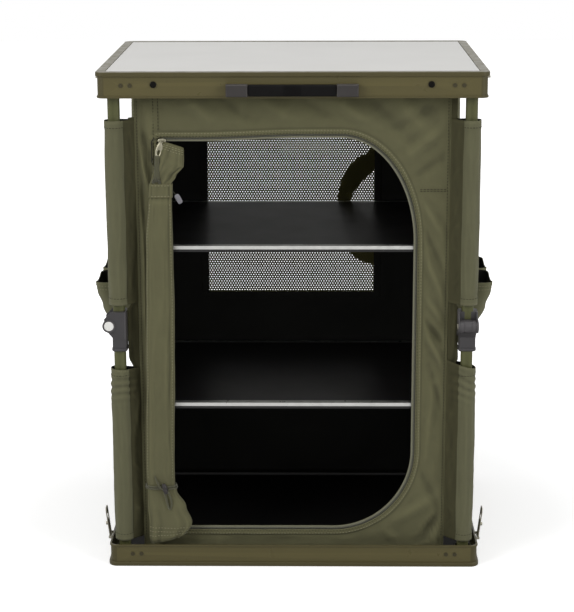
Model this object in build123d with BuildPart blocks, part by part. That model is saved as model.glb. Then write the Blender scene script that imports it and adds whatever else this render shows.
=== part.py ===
from build123d import *
import os
from math import cos, radians, sin

os.makedirs("parts", exist_ok=True)

# Folding storage cupboard: two trays joined by four legs that fold in the middle, round a cloth body.
# Millimetres, +Z up, +X right, the opening faces -Y, origin on the floor under the middle.

# Overall size over the tray lips
WIDTH = 600.0
DEPTH = 465.0
HEIGHT = 800.0

# Clearances
RUNNING_CLEARANCE = 0.08
OPEN_PIVOT_CLEARANCE = 0.2
FIT_GAP = 0.1
CLOTH_GAP = 0.3

# Tray rims
BASE_TRAY_HEIGHT = 36.0
TOP_TRAY_HEIGHT = 40.0
TRAY_CORNER = 14.0
LIP_OUT = 3.0
LIP_HEIGHT = 7.0
LIP_ROUND = 1.2
SHEET = 1.6
BEAD_OUT = 1.4
BEAD_HEIGHT = 3.2
BEAD_ROUND = 0.9
LEDGE_WIDTH = 20.0
REBATE_WIDTH = 10.0

# Boards of the trays
BOARD_THICKNESS = 4.0
BOARD_GAP = 0.6
WORKTOP_RECESS = 0.4
BOARD_EDGE_ROUND = 0.5

# Leg tubes and their places
TUBE = 18.0
TUBE_CORNER = 4.0
TUBE_WALL = 1.5
GROOVE_WIDTH = 3.0
GROOVE_DEPTH = 0.5
LEG_INSET = 25.5
PIVOT_HEIGHT = 23.5
TUBE_PAST_PIVOT = 10.0
PIVOT_RADIUS = 3.0

# Folding knuckles
PIN_OFFSET = 15.0
KNUCKLE_HALF = 13.0
HOUSING_PIN_SIDE = 10.5
HOUSING_FAR_SIDE = 12.0
BARREL_RADIUS = 10.0
BOSS_RADIUS = 10.5
BARREL_GAP = 0.4
MIDDLE_BARREL_HALF = 5.5
EAR_GAP = 0.3
CHEEK = 2.0
PARTING_GAP = 0.3
PARTING_NEAR = 8.6
PARTING_FAR = 22.9
LOWER_HOUSING_REACH = 42.0
UPPER_HOUSING_REACH = 22.5
COLLAR_OUT = 1.0
COLLAR_HEIGHT = 5.0
COLLAR_CHAMFER = 1.6
HOUSING_ROUND = 3.0
LOWER_TUBE_TOP = 23.0
UPPER_TUBE_BOTTOM = 9.0
NECK_LEFT = 4.0
NECK_DROP = 9.0
NECK_FOOT = 19.0
SHOULDER_OUT = 7.5
SHOULDER_LOW = 11.2
SHOULDER_IN = 3.0

# Knuckle pin, button and spring
KNUCKLE_PIN_RADIUS = 3.0
PIN_HEAD_RADIUS = 5.5
PIN_HEAD_HEIGHT = 1.4
PIN_TIP = 9.5
BUTTON_RADIUS = 7.5
BUTTON_WALL = 1.5
BUTTON_PROUD = 1.0
BUTTON_FACE = 2.0
BUTTON_TRAVEL = 3.4
BUTTON_LENGTH = 6.3
BUTTON_FLOOR_GAP = 0.1
BUTTON_ROUND = 0.8
BUTTON_BORE_GAP = 0.2
BOSS_PROUD = 1.0
SPRING_WIRE = 1.0
SPRING_GAP = 0.4

# Brackets, pivot pins, rivets and screws
EAR = 2.0
EAR_CLEARANCE = 0.5
EAR_WIDTH = 26.0
EAR_ROUND = 8.0
BRACKET_PLATE = 2.0
BRACKET_SPREAD = 16.0
BRACKET_REACH = 36.0
UPSTAND_HEIGHT = 24.0
UPSTAND_WIDTH = 22.0
BRACKET_ROUND = 5.0
PIN_HEAD_OUT = 1.5
PIN_HEAD_EXTRA = 1.5
RIVET_RADIUS = 2.0
RIVET_HEAD_RADIUS = 3.2
RIVET_HEAD = 1.2
RIVET_INSETS = (53.5, 39.5)
RIVET_Z = 20.5
SCREW_INSET = 89.0
SCREW_Z = 19.0
SCREW_RADIUS = 2.5
SCREW_HEAD_RADIUS = 5.0
SCREW_HEAD = 2.5
SCREW_LENGTH = 5.0

# Shelves
UPPER_SHELF_DROP = 278.2
LOWER_SHELF_DROP = 136.2
SHELF_THICKNESS = 9.8
SHELF_SETBACK = 11.0
SHELF_END_GAP = 0.4
TRIM = 1.2
TRIM_HEIGHT = 5.5
TRIM_DEPTH = 12.0

# Latches on the end faces
HASP_FROM_LEG = 42.0
HASP_WIDTH = 22.0
HASP_LENGTH = 50.0
HASP_SHEET = 1.2
HASP_OUT = 6.2
HASP_LEAN = 7.0
HASP_DROP = 8.0
HASP_BARREL = 2.2
HASP_PIN = 1.25
HASP_EAR = 1.5
HASP_EAR_GAP = 0.4
LATCH_PLATE = 1.5
LATCH_PLATE_DROP = 3.2
LATCH_PLATE_HEIGHT = 13.0
KNOB_RADIUS = 3.0
KNOB_OUT = 4.5
KNOB_UP = 21.0
CATCH_DROP = 15.0
CATCH_LUG = 3.0
CATCH_LUG_WIDTH = 9.0
CATCH_LUG_OUT = 8.6
CATCH_PLATE_WIDTH = 18.0
CATCH_PLATE_HEIGHT = 22.0
WINDOW_GAP = 1.6

# Strap handle
HANDLE_Z = 27.3
CAP_NEAR = 67.5
CAP_LENGTH = 33.0
CAP_HEIGHT = 18.6
CAP_OUT = 13.0
CAP_WALL = 2.0
CAP_ROUND = 2.0
TONGUE = 2.5
TONGUE_HEIGHT = 12.0
TONGUE_END_GAP = 8.0
STRAP_GAP = 0.5
GRIP_OUT = 10.0
GRIP_HEIGHT = 17.6
GRIP_END_GAP = 1.0
GRIP_ROUND = 2.5
GRIP_RIBS = 9
RIB_PITCH = 3.0
RIB_DEPTH = 0.8

# Cloth body
BODY_FROM_LEG_X = 30.0
BODY_FROM_LEG_Y = 9.0
CLOTH = 1.6
OPENING_LEFT_EDGE = 17.5
OPENING_RIGHT_EDGE = 55.5
OPENING_SILL = 21.0
OPENING_HEAD = 105.5
HIGH_CORNER = (115.0, 165.0)
LOW_CORNER = (125.0, 130.0)
OPENING_LEFT_CORNER = 10.0
WINDOW_LEFT_EDGE = 85.5
WINDOW_RIGHT_EDGE = 101.5
WINDOW_BELOW_KNEE = 49.4
WINDOW_HEAD = 80.0
NET = 1.0
NET_HEM = 6.0
NET_COLUMNS = 12
NET_ROWS = 15
NET_THREAD = 3.0
LEDGE_CLOTH = 10.0
LEDGE_CLOTH_LENGTH = 300.0
LEDGE_CLOTH_HEIGHT = 3.0
FLAP_RADIUS = 11.0
FLAP_FROM_TOP = 92.0
FLAP_FROM_BOTTOM = 49.4
FLAP_PAST_EDGE = 2.0
FLAP_BULGE = 52.0

# Zip, door roll and its ties
TAPE_WIDTH = 13.0
TAPE = 0.8
SLIDER_FROM_EDGE = 23.4
SLIDER_WIDTH = 7.0
SLIDER_HEIGHT = 11.0
SLIDER_OUT = 4.0
SLIDER_ROUND = 1.5
SLIDER_SAG = 0.7
BRIDGE_OUT = 3.4
BRIDGE_WIDTH = 2.2
BRIDGE_HEIGHT = 6.0
BRIDGE_WALL = 0.6
BRIDGE_SAG = 3.8
EYE_RADIUS = 1.0
PULL_WIDTH = 8.0
PULL_LENGTH = 58.0
PULL_SHEET = 1.4
PULL_STAND = 10.9
PULL_PIN_WALL = 0.3
PULL_NOTCH = 7.0
PULL_NOTCH_GAP = 0.5
ROLL_FROM_EDGE = 20.0
TIE_DROP = 90.5
TIE_HEIGHT = 20.0
LOW_TIE_RISE = 69.0
LOW_TIE_HEIGHT = 7.0
TIE_CLOTH = 1.2
TIE_SHIFT = 2.0
ROLL_AT_TIE = 6.0
ROLL_AT_LOW_TIE = 11.0
ROLL_FLAT = 3.3
ROLL_LOW_HALF_WIDTH = 20.0
ROLL_TIE_HALF_WIDTH = 16.0
ROLL_HALF_WIDTH = 21.5
ROLL_HALF_DEPTH = 13.0
ROLL_BELOW_KNEE = 150.0
ROLL_ABOVE_KNEE = 40.0
ROLL_FOOT_DROP = 33.0
ROLL_FOOT_RISE = 9.0
ROLL_FOOT_HALF_WIDTH = 27.0
ROLL_FOOT_HALF_DEPTH = 12.0
ROLL_FOOT_SHIFT = 11.0
ROLL_END_HALF_DEPTH = 9.0
ROLL_END_SHIFT = 12.0
ROLL_NECK_DROP = 34.0
ROLL_NECK_HALF_DEPTH = 12.0
ROLL_FLARE_DROP = 62.5
ROLL_FLARE_HALF_WIDTH = 20.0
ROLL_FLARE_SHIFT = 8.0
ROLL_HEAD_DROP = 30.5
ROLL_HEAD_HALF_WIDTH = 25.0
ROLL_HEAD_SHIFT = 14.0
ROLL_TIP_DROP = 8.5
ROLL_TIP_HALF_WIDTH = 24.0
ROLL_TIP_SHIFT = 12.0
TOGGLE_RADIUS = 3.2
TOGGLE_LENGTH = 22.0

# Sleeves and pockets
SLEEVE_EASE = 60.0
SLEEVE_ROUND = 5.0
SLEEVE_ABOVE_KNEE = 33.0
SLEEVE_BELOW_KNEE = 71.0
SLEEVE_TOP_DROP = 76.0
SLEEVE_TRAY_GAP = 4.0
SLEEVE_END = 32.0
SLEEVE_MIDDLE = 38.0
POCKET_ABOVE_KNEE = 41.0
POCKET_BELOW_KNEE = 75.0
POCKET_WIDTH = 98.0
POCKET_Y = (-52.0, 52.0)
POCKET_REACH = 82.0
POCKET_REACH_AT_KNEE = 72.0
POCKET_BELLY_DROP = 40.0
POCKET_BELLY_REACH = 55.0
POCKET_FOOT_REACH = 12.0

# Places worked out from the sizes above
KNEE = HEIGHT / 2
LEG_X = WIDTH / 2 - LEG_INSET
LEG_Y = DEPTH / 2 - LEG_INSET
RIVET_X = [WIDTH / 2 - inset for inset in RIVET_INSETS]
SCREW_X = WIDTH / 2 - SCREW_INSET
HASP_Y = HASP_FROM_LEG - LEG_Y
BODY_WIDTH = 2 * (LEG_X - BODY_FROM_LEG_X)
BODY_DEPTH = 2 * (LEG_Y - BODY_FROM_LEG_Y)
SHELF_TOPS = {"upper": HEIGHT - UPPER_SHELF_DROP, "lower": KNEE - LOWER_SHELF_DROP}
SHELF_EDGE = BODY_DEPTH / 2 - SHELF_SETBACK
OPENING_LEFT = OPENING_LEFT_EDGE - BODY_WIDTH / 2
OPENING_RIGHT = BODY_WIDTH / 2 - OPENING_RIGHT_EDGE
OPENING_BOTTOM = BASE_TRAY_HEIGHT + OPENING_SILL
OPENING_TOP = HEIGHT - OPENING_HEAD
WINDOW_LEFT = WINDOW_LEFT_EDGE - BODY_WIDTH / 2
WINDOW_RIGHT = BODY_WIDTH / 2 - WINDOW_RIGHT_EDGE
WINDOW_BOTTOM = KNEE - WINDOW_BELOW_KNEE
WINDOW_TOP = HEIGHT - WINDOW_HEAD
FLAP_TOP = WINDOW_TOP - FLAP_FROM_TOP
FLAP_BOTTOM = WINDOW_BOTTOM + FLAP_FROM_BOTTOM
FLAP_X = WINDOW_RIGHT + FLAP_PAST_EDGE
SLIDER_X = OPENING_LEFT + SLIDER_FROM_EDGE
ROLL_X = OPENING_LEFT + ROLL_FROM_EDGE
TIE_BOTTOM = OPENING_TOP - TIE_DROP
LOW_TIE_BOTTOM = OPENING_BOTTOM + LOW_TIE_RISE
UPPER_SLEEVE_BOTTOM = KNEE + SLEEVE_ABOVE_KNEE
UPPER_SLEEVE_TOP = HEIGHT - SLEEVE_TOP_DROP
LOWER_SLEEVE_BOTTOM = BASE_TRAY_HEIGHT + SLEEVE_TRAY_GAP
LOWER_SLEEVE_TOP = KNEE - SLEEVE_BELOW_KNEE
POCKET_MOUTH = KNEE + POCKET_ABOVE_KNEE
POCKET_BOTTOM = KNEE - POCKET_BELOW_KNEE
WALL_WIDTH = WIDTH - 2 * LIP_OUT
WALL_DEPTH = DEPTH - 2 * LIP_OUT
WALL_CORNER = TRAY_CORNER - LIP_OUT
INNER_WIDTH = WALL_WIDTH - 2 * SHEET
INNER_DEPTH = WALL_DEPTH - 2 * SHEET
INNER_CORNER = WALL_CORNER - SHEET
REBATE_DEPTH = WORKTOP_RECESS + BOARD_THICKNESS
BASE_FLOOR = BOARD_THICKNESS + SHEET
TOP_LEDGE_UNDER = HEIGHT - REBATE_DEPTH - SHEET
TOP_BOARD_UNDER = HEIGHT - REBATE_DEPTH
UPPER_PIVOT = HEIGHT - PIVOT_HEIGHT
CHEEK_INNER = KNUCKLE_HALF + EAR_GAP
CHEEK_OUTER = CHEEK_INNER + CHEEK
BUTTON_BORE = BUTTON_RADIUS + BUTTON_BORE_GAP
BUTTON_END = CHEEK_OUTER + BOSS_PROUD + BUTTON_PROUD
BUTTON_INNER_END = BUTTON_END - BUTTON_LENGTH
BUTTON_SEAT = BUTTON_INNER_END - BUTTON_TRAVEL - BUTTON_FLOOR_GAP
EAR_INNER = TUBE / 2 + EAR_CLEARANCE
EAR_OUTER = EAR_INNER + EAR
BODY_FRONT = -BODY_DEPTH / 2
BODY_BOTTOM = BASE_FLOOR + BRACKET_PLATE + CLOTH_GAP
BODY_TOP = TOP_LEDGE_UNDER - BRACKET_PLATE - CLOTH_GAP
WALL_FRONT = -WALL_DEPTH / 2
WALL_END = WALL_WIDTH / 2
CLOSED_DROP = HEIGHT - 2 * PIVOT_HEIGHT - 2 * PIN_OFFSET

# Each leg folds along its own side of the trays: place of its axis and its turn about Z
LEGS = {
    "front_left": (-LEG_X, -LEG_Y, 0),
    "front_right": (LEG_X, -LEG_Y, 90),
    "rear_right": (LEG_X, LEG_Y, 180),
    "rear_left": (-LEG_X, LEG_Y, 270),
}


def save(part, name):
    part.label = name
    export_step(part, f"parts/{name}.step")


def hinge_plane(x, y, turn, z, shift):
    """Plane square to a leg's hinge axis: local X is the way the knee folds, local Y is up."""
    fold = Vector(cos(radians(turn)), sin(radians(turn)), 0)
    axis = Vector(-fold.Y, fold.X, 0)
    return Plane(origin=Vector(x, y, z) + axis * shift, x_dir=fold, z_dir=-axis)


# Tray rims


def tray_rim(height, recess):
    """Rim, closed side at Z = 0 and open side up; its board lies in the rebate under the ledge."""
    ledge = recess + SHEET
    with BuildPart() as rim:
        with BuildSketch():
            RectangleRounded(WIDTH, DEPTH, TRAY_CORNER)
        extrude(amount=LIP_HEIGHT)
        fillet(rim.edges().group_by(Axis.Z)[0], radius=LIP_ROUND)
        fillet(rim.edges().group_by(Axis.Z)[-1], radius=LIP_ROUND)
        with BuildSketch():
            RectangleRounded(WALL_WIDTH, WALL_DEPTH, WALL_CORNER)
        extrude(amount=height)
        with BuildSketch(Plane.XY.offset(height - BEAD_HEIGHT)):
            RectangleRounded(WALL_WIDTH + 2 * BEAD_OUT, WALL_DEPTH + 2 * BEAD_OUT, WALL_CORNER + BEAD_OUT)
        extrude(amount=BEAD_HEIGHT)
        fillet(rim.edges().group_by(Axis.Z)[-1], radius=BEAD_ROUND)
        with BuildSketch(Plane.XY.offset(ledge)):
            RectangleRounded(INNER_WIDTH, INNER_DEPTH, INNER_CORNER)
        extrude(amount=height, mode=Mode.SUBTRACT)
        with BuildSketch():
            Rectangle(INNER_WIDTH - 2 * LEDGE_WIDTH, INNER_DEPTH - 2 * LEDGE_WIDTH)
        extrude(amount=height, mode=Mode.SUBTRACT)
        with BuildSketch():
            Rectangle(INNER_WIDTH - 2 * REBATE_WIDTH, INNER_DEPTH - 2 * REBATE_WIDTH)
        extrude(amount=recess, mode=Mode.SUBTRACT)
    return rim.part


def through_walls(xs, z, radius):
    """Holes through the front and rear walls, at plus and minus each X."""
    with Locations([(side * x, 0, z) for x in xs for side in (-1, 1)]):
        Cylinder(radius, DEPTH, rotation=(90, 0, 0), mode=Mode.SUBTRACT)


base_rim = tray_rim(BASE_TRAY_HEIGHT, BOARD_THICKNESS)
top_rim = tray_rim(TOP_TRAY_HEIGHT, REBATE_DEPTH)

with BuildPart() as base_frame:
    add(base_rim)
    through_walls(RIVET_X, RIVET_Z, RIVET_RADIUS + FIT_GAP)
save(base_frame.part, "base_frame")

with BuildPart() as top_frame:
    with Locations(Location((0, 0, HEIGHT), (180, 0, 0))):
        add(top_rim)
    through_walls(RIVET_X, HEIGHT - RIVET_Z, RIVET_RADIUS + FIT_GAP)
    with Locations([(side * SCREW_X, WALL_FRONT, HEIGHT - SCREW_Z) for side in (-1, 1)]):
        Cylinder(SCREW_RADIUS + FIT_GAP, 4 * SHEET, rotation=(90, 0, 0), mode=Mode.SUBTRACT)
save(top_frame.part, "top_frame")

# Boards

BOARD_WIDTH = INNER_WIDTH - 2 * REBATE_WIDTH - 2 * BOARD_GAP
BOARD_DEPTH = INNER_DEPTH - 2 * REBATE_WIDTH - 2 * BOARD_GAP

with BuildPart() as base_panel:
    with BuildSketch():
        Rectangle(BOARD_WIDTH, BOARD_DEPTH)
    extrude(amount=BOARD_THICKNESS)
save(base_panel.part, "base_panel")

with BuildPart() as top_panel:
    with BuildSketch(Plane.XY.offset(TOP_BOARD_UNDER)):
        Rectangle(BOARD_WIDTH, BOARD_DEPTH)
    extrude(amount=BOARD_THICKNESS)
    fillet(top_panel.edges().group_by(Axis.Z)[-1], radius=BOARD_EDGE_ROUND)
save(top_panel.part, "top_panel")

# Leg brackets: a plate with an upstand riveted to the wall, and two ears that hold the pivot pin


def leg_brackets(plate_z, pivot_z):
    """Four brackets whose plate starts at plate_z and grows towards the pivots."""
    up = 1 if pivot_z > plate_z else -1
    face = plate_z + up * BRACKET_PLATE
    with BuildPart() as brackets:
        for x, y, turn in LEGS.values():
            side_x = 1 if x > 0 else -1
            side_y = 1 if y > 0 else -1
            wall_y = side_y * (INNER_DEPTH / 2 - FIT_GAP)
            plate_width = BRACKET_SPREAD + BRACKET_REACH
            plate_x = x + side_x * (BRACKET_SPREAD - plate_width / 2)
            plate_depth = abs(wall_y - y) + BRACKET_SPREAD
            with BuildSketch(Plane.XY.offset(plate_z)):
                with Locations((plate_x, wall_y - side_y * plate_depth / 2)):
                    RectangleRounded(plate_width, plate_depth, BRACKET_ROUND)
            extrude(amount=up * BRACKET_PLATE)
            upstand_x = side_x * sum(RIVET_X) / len(RIVET_X)
            with BuildSketch(Plane.XY.offset(plate_z)):
                with Locations((upstand_x, wall_y - side_y * BRACKET_PLATE / 2)):
                    Rectangle(UPSTAND_WIDTH, BRACKET_PLATE)
            extrude(amount=up * UPSTAND_HEIGHT)
            for inner, outward in ((EAR_INNER, -1), (-EAR_INNER, 1)):
                with BuildSketch(hinge_plane(x, y, turn, pivot_z, inner)):
                    Circle(EAR_ROUND)
                    with BuildLine():
                        Polyline(
                            (-EAR_ROUND, 0),
                            (-EAR_WIDTH / 2, face - pivot_z),
                            (EAR_WIDTH / 2, face - pivot_z),
                            (EAR_ROUND, 0),
                            close=True,
                        )
                    make_face()
                extrude(amount=outward * EAR)
            with BuildSketch(hinge_plane(x, y, turn, pivot_z, 0)):
                Circle(PIVOT_RADIUS + FIT_GAP)
            extrude(amount=2 * EAR_OUTER, both=True, mode=Mode.SUBTRACT)
        for rivet in RIVET_X:
            rivet_z = RIVET_Z if up > 0 else HEIGHT - RIVET_Z
            with Locations((-rivet, 0, rivet_z), (rivet, 0, rivet_z)):
                Cylinder(RIVET_RADIUS + FIT_GAP, DEPTH, rotation=(90, 0, 0), mode=Mode.SUBTRACT)
    return brackets.part


save(leg_brackets(BASE_FLOOR, PIVOT_HEIGHT), "leg_brackets_lower")
save(leg_brackets(TOP_LEDGE_UNDER, UPPER_PIVOT), "leg_brackets_upper")

# Rivets, pivot pins and screws


def pivot_pins(z):
    """A headed pin through the bracket ears of each leg."""
    half = EAR_OUTER + RUNNING_CLEARANCE
    for x, y, turn in LEGS.values():
        with BuildSketch(hinge_plane(x, y, turn, z, 0)) as shank:
            Circle(PIVOT_RADIUS)
        extrude(shank.sketch, amount=half, both=True)
        for shift, outward in ((half, -1), (-half, 1)):
            with BuildSketch(hinge_plane(x, y, turn, z, shift)) as head:
                Circle(PIVOT_RADIUS + PIN_HEAD_EXTRA)
            extrude(head.sketch, amount=outward * PIN_HEAD_OUT)


def wall_rivets(z):
    """Rivets through the front and rear walls and the bracket upstands, headed outside."""
    inner = INNER_DEPTH / 2 - BRACKET_PLATE - FIT_GAP
    for side_y in (-1, 1):
        for rivet in RIVET_X:
            for side_x in (-1, 1):
                place = Vector(side_x * rivet, side_y * inner, z)
                with BuildSketch(Plane(origin=place, z_dir=(0, side_y, 0))) as shank:
                    Circle(RIVET_RADIUS)
                extrude(shank.sketch, amount=WALL_DEPTH / 2 - inner)
                place = Vector(side_x * rivet, side_y * WALL_DEPTH / 2, z)
                with BuildSketch(Plane(origin=place, z_dir=(0, side_y, 0))) as head:
                    Circle(RIVET_HEAD_RADIUS)
                extrude(head.sketch, amount=RIVET_HEAD)


with BuildPart() as base_rivets:
    pivot_pins(PIVOT_HEIGHT)
    wall_rivets(RIVET_Z)
save(base_rivets.part, "base_rivets")

with BuildPart() as top_rivets:
    pivot_pins(UPPER_PIVOT)
    wall_rivets(HEIGHT - RIVET_Z)
save(top_rivets.part, "top_rivets")

with BuildPart() as frame_screws:
    for side in (-1, 1):
        place = (side * SCREW_X, WALL_FRONT, HEIGHT - SCREW_Z)
        with BuildSketch(Plane(origin=place, z_dir=(0, -1, 0))):
            Circle(SCREW_HEAD_RADIUS)
        extrude(amount=SCREW_HEAD)
        with BuildSketch(Plane(origin=place, z_dir=(0, -1, 0))):
            Circle(SCREW_RADIUS)
        extrude(amount=-SCREW_LENGTH)
    heads = frame_screws.edges().group_by(Axis.Y)[0]
    fillet(heads, radius=SCREW_HEAD / 2)
save(frame_screws.part, "frame_screws")

# One leg, made about its own axis at X = Y = 0: the knee folds towards +X and the button faces -Y


def leg_tube(bottom, top, hole_z, clearance):
    """Rounded square tube with a groove in each side and a pivot hole across it."""
    with BuildPart() as tube:
        with BuildSketch(Plane.XY.offset(bottom)):
            RectangleRounded(TUBE, TUBE, TUBE_CORNER)
            inside = TUBE - 2 * TUBE_WALL
            RectangleRounded(inside, inside, TUBE_CORNER - TUBE_WALL, mode=Mode.SUBTRACT)
            with PolarLocations(TUBE / 2, 4):
                Rectangle(2 * GROOVE_DEPTH, GROOVE_WIDTH, mode=Mode.SUBTRACT)
        extrude(amount=top - bottom)
        with Locations((0, 0, hole_z)):
            Cylinder(PIVOT_RADIUS + clearance, 2 * TUBE, rotation=(90, 0, 0), mode=Mode.SUBTRACT)
    return tube.part


def tube_socket(bottom, top):
    """Cut the seat of a tube into the housing."""
    with BuildSketch(Plane.XY.offset(bottom)) as seat:
        RectangleRounded(TUBE + 2 * FIT_GAP, TUBE + 2 * FIT_GAP, TUBE_CORNER + FIT_GAP)
    extrude(seat.sketch, amount=top - bottom, mode=Mode.SUBTRACT)


def pin_disc(radius, start, end, mode=Mode.ADD):
    """Disc about the folding pin's axis between two places along it, the button side being negative."""
    with BuildSketch(Plane(origin=(-PIN_OFFSET, start, KNEE), x_dir=(1, 0, 0), z_dir=(0, 1, 0))) as disc:
        Circle(radius)
    extrude(disc.sketch, amount=end - start, mode=mode)


with BuildPart() as lower_knuckle:
    with BuildSketch(Plane.XZ):
        with BuildLine():
            Polyline(
                (-PIN_OFFSET - NECK_LEFT, KNEE - NECK_DROP),
                (-HOUSING_PIN_SIDE, KNEE - NECK_FOOT),
                (-HOUSING_PIN_SIDE, KNEE - LOWER_HOUSING_REACH + COLLAR_HEIGHT),
                (HOUSING_FAR_SIDE, KNEE - LOWER_HOUSING_REACH + COLLAR_HEIGHT),
                (HOUSING_FAR_SIDE, KNEE - PARTING_FAR),
                (-HOUSING_PIN_SIDE, KNEE - PARTING_NEAR),
                close=True,
            )
        make_face()
    extrude(amount=KNUCKLE_HALF, both=True)
    far_edges = lower_knuckle.edges().filter_by(Axis.Z).sort_by(Axis.X)[-2:]
    near_edges = lower_knuckle.edges().filter_by(Axis.Z).sort_by(Axis.X)[:2]
    fillet(far_edges + near_edges, radius=HOUSING_ROUND)
    pin_disc(BARREL_RADIUS, -KNUCKLE_HALF, KNUCKLE_HALF)
    collar_width = HOUSING_PIN_SIDE + HOUSING_FAR_SIDE + 2 * COLLAR_OUT
    with BuildSketch(Plane.XY.offset(KNEE - LOWER_HOUSING_REACH)):
        with Locations(((HOUSING_FAR_SIDE - HOUSING_PIN_SIDE) / 2, 0)):
            RectangleRounded(collar_width, 2 * (KNUCKLE_HALF + COLLAR_OUT), HOUSING_ROUND + COLLAR_OUT)
    extrude(amount=COLLAR_HEIGHT)
    chamfer(lower_knuckle.edges().group_by(Axis.Z)[0], length=COLLAR_CHAMFER)
    barrel_slot = MIDDLE_BARREL_HALF + EAR_GAP
    pin_disc(BARREL_RADIUS + BARREL_GAP, -barrel_slot, barrel_slot, Mode.SUBTRACT)
    pin_disc(KNUCKLE_PIN_RADIUS + RUNNING_CLEARANCE, -KNUCKLE_HALF, KNUCKLE_HALF, Mode.SUBTRACT)
    pin_disc(BUTTON_BORE, -KNUCKLE_HALF, -BUTTON_SEAT, Mode.SUBTRACT)
    tube_socket(KNEE - LOWER_HOUSING_REACH, KNEE - LOWER_TUBE_TOP + FIT_GAP)

with BuildPart() as upper_knuckle:
    with BuildSketch(Plane.XZ):
        with BuildLine():
            Polyline(
                (-PIN_OFFSET - SHOULDER_OUT, KNEE),
                (-PIN_OFFSET - SHOULDER_OUT, KNEE + SHOULDER_LOW),
                (-PIN_OFFSET + SHOULDER_IN, KNEE + UPPER_HOUSING_REACH),
                (HOUSING_FAR_SIDE, KNEE + UPPER_HOUSING_REACH),
                (HOUSING_FAR_SIDE, KNEE - PARTING_FAR + PARTING_GAP),
                (-HOUSING_PIN_SIDE, KNEE - PARTING_NEAR + PARTING_GAP),
                close=True,
            )
        make_face()
    extrude(amount=CHEEK_OUTER, both=True)
    fillet(upper_knuckle.edges().filter_by(Axis.Z).sort_by(Axis.X)[-2:], radius=HOUSING_ROUND)
    pin_disc(BOSS_RADIUS, -CHEEK_OUTER - BOSS_PROUD, -CHEEK_INNER)
    pin_disc(BOSS_RADIUS, CHEEK_INNER, CHEEK_OUTER)
    for near, far in ((MIDDLE_BARREL_HALF, CHEEK_INNER), (-CHEEK_INNER, -MIDDLE_BARREL_HALF)):
        pin_disc(BARREL_RADIUS + BARREL_GAP, near, far, Mode.SUBTRACT)
    pocket_edge = -TUBE / 2 - FIT_GAP
    pocket_left = -PIN_OFFSET - 2 * BOSS_RADIUS
    with BuildSketch(Plane.XZ):
        with BuildLine():
            Polyline(
                (pocket_left, KNEE - UPPER_HOUSING_REACH),
                (-HOUSING_PIN_SIDE, KNEE - UPPER_HOUSING_REACH),
                (-HOUSING_PIN_SIDE, KNEE + BARREL_RADIUS),
                (pocket_edge, KNEE + BARREL_RADIUS),
                (pocket_edge, KNEE + 2 * UPPER_HOUSING_REACH),
                (pocket_left, KNEE + 2 * UPPER_HOUSING_REACH),
                close=True,
            )
        make_face()
    extrude(amount=CHEEK_INNER, both=True, mode=Mode.SUBTRACT)
    pin_disc(BARREL_RADIUS, -MIDDLE_BARREL_HALF, MIDDLE_BARREL_HALF)
    pin_disc(KNUCKLE_PIN_RADIUS + RUNNING_CLEARANCE, -CHEEK_OUTER, CHEEK_OUTER, Mode.SUBTRACT)
    pin_disc(BUTTON_BORE, -CHEEK_OUTER - BOSS_PROUD, -CHEEK_INNER, Mode.SUBTRACT)
    tube_socket(KNEE + UPPER_TUBE_BOTTOM - FIT_GAP, KNEE + UPPER_HOUSING_REACH)

with BuildPart() as knuckle_pin:
    head_seat = CHEEK_OUTER + RUNNING_CLEARANCE
    pin_disc(KNUCKLE_PIN_RADIUS, -PIN_TIP, head_seat)
    pin_disc(PIN_HEAD_RADIUS, head_seat, head_seat + PIN_HEAD_HEIGHT)

with BuildPart() as lock_button:
    pin_disc(BUTTON_RADIUS, -BUTTON_END, -BUTTON_INNER_END)
    fillet(lock_button.edges().group_by(Axis.Y)[0], radius=BUTTON_ROUND)
    pin_disc(BUTTON_RADIUS - BUTTON_WALL, -BUTTON_END + BUTTON_FACE, -BUTTON_INNER_END, Mode.SUBTRACT)

with BuildPart() as lock_spring:
    spring_outer = BUTTON_RADIUS - BUTTON_WALL - SPRING_GAP
    pin_disc(spring_outer, -BUTTON_END + BUTTON_FACE + FIT_GAP, -BUTTON_SEAT - FIT_GAP)
    pin_disc(spring_outer - SPRING_WIRE, -BUTTON_END, -BUTTON_SEAT, Mode.SUBTRACT)

for leg, (x, y, turn) in LEGS.items():
    joined = leg == "front_left"
    top_clearance = RUNNING_CLEARANCE if joined else OPEN_PIVOT_CLEARANCE
    lower_top = KNEE - LOWER_TUBE_TOP
    upper_bottom = KNEE + UPPER_TUBE_BOTTOM
    pieces = {
        "lower_tube": leg_tube(PIVOT_HEIGHT - TUBE_PAST_PIVOT, lower_top, PIVOT_HEIGHT, RUNNING_CLEARANCE),
        "upper_tube": leg_tube(upper_bottom, UPPER_PIVOT + TUBE_PAST_PIVOT, UPPER_PIVOT, top_clearance),
        "lower_knuckle": lower_knuckle.part,
        "upper_knuckle": upper_knuckle.part,
        "knuckle_pin": knuckle_pin.part,
        "lock_button": lock_button.part,
        "lock_spring": lock_spring.part,
    }
    for piece, shape in pieces.items():
        with BuildPart() as placed:
            with Locations(Location((x, y, 0), (0, 0, turn))):
                add(shape)
        save(placed.part, f"{leg}_{piece}")

# Shelves: a board with a bright trim along its front and rear edges

SHELF_WIDTH = BODY_WIDTH - 2 * CLOTH - 2 * SHELF_END_GAP

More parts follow.
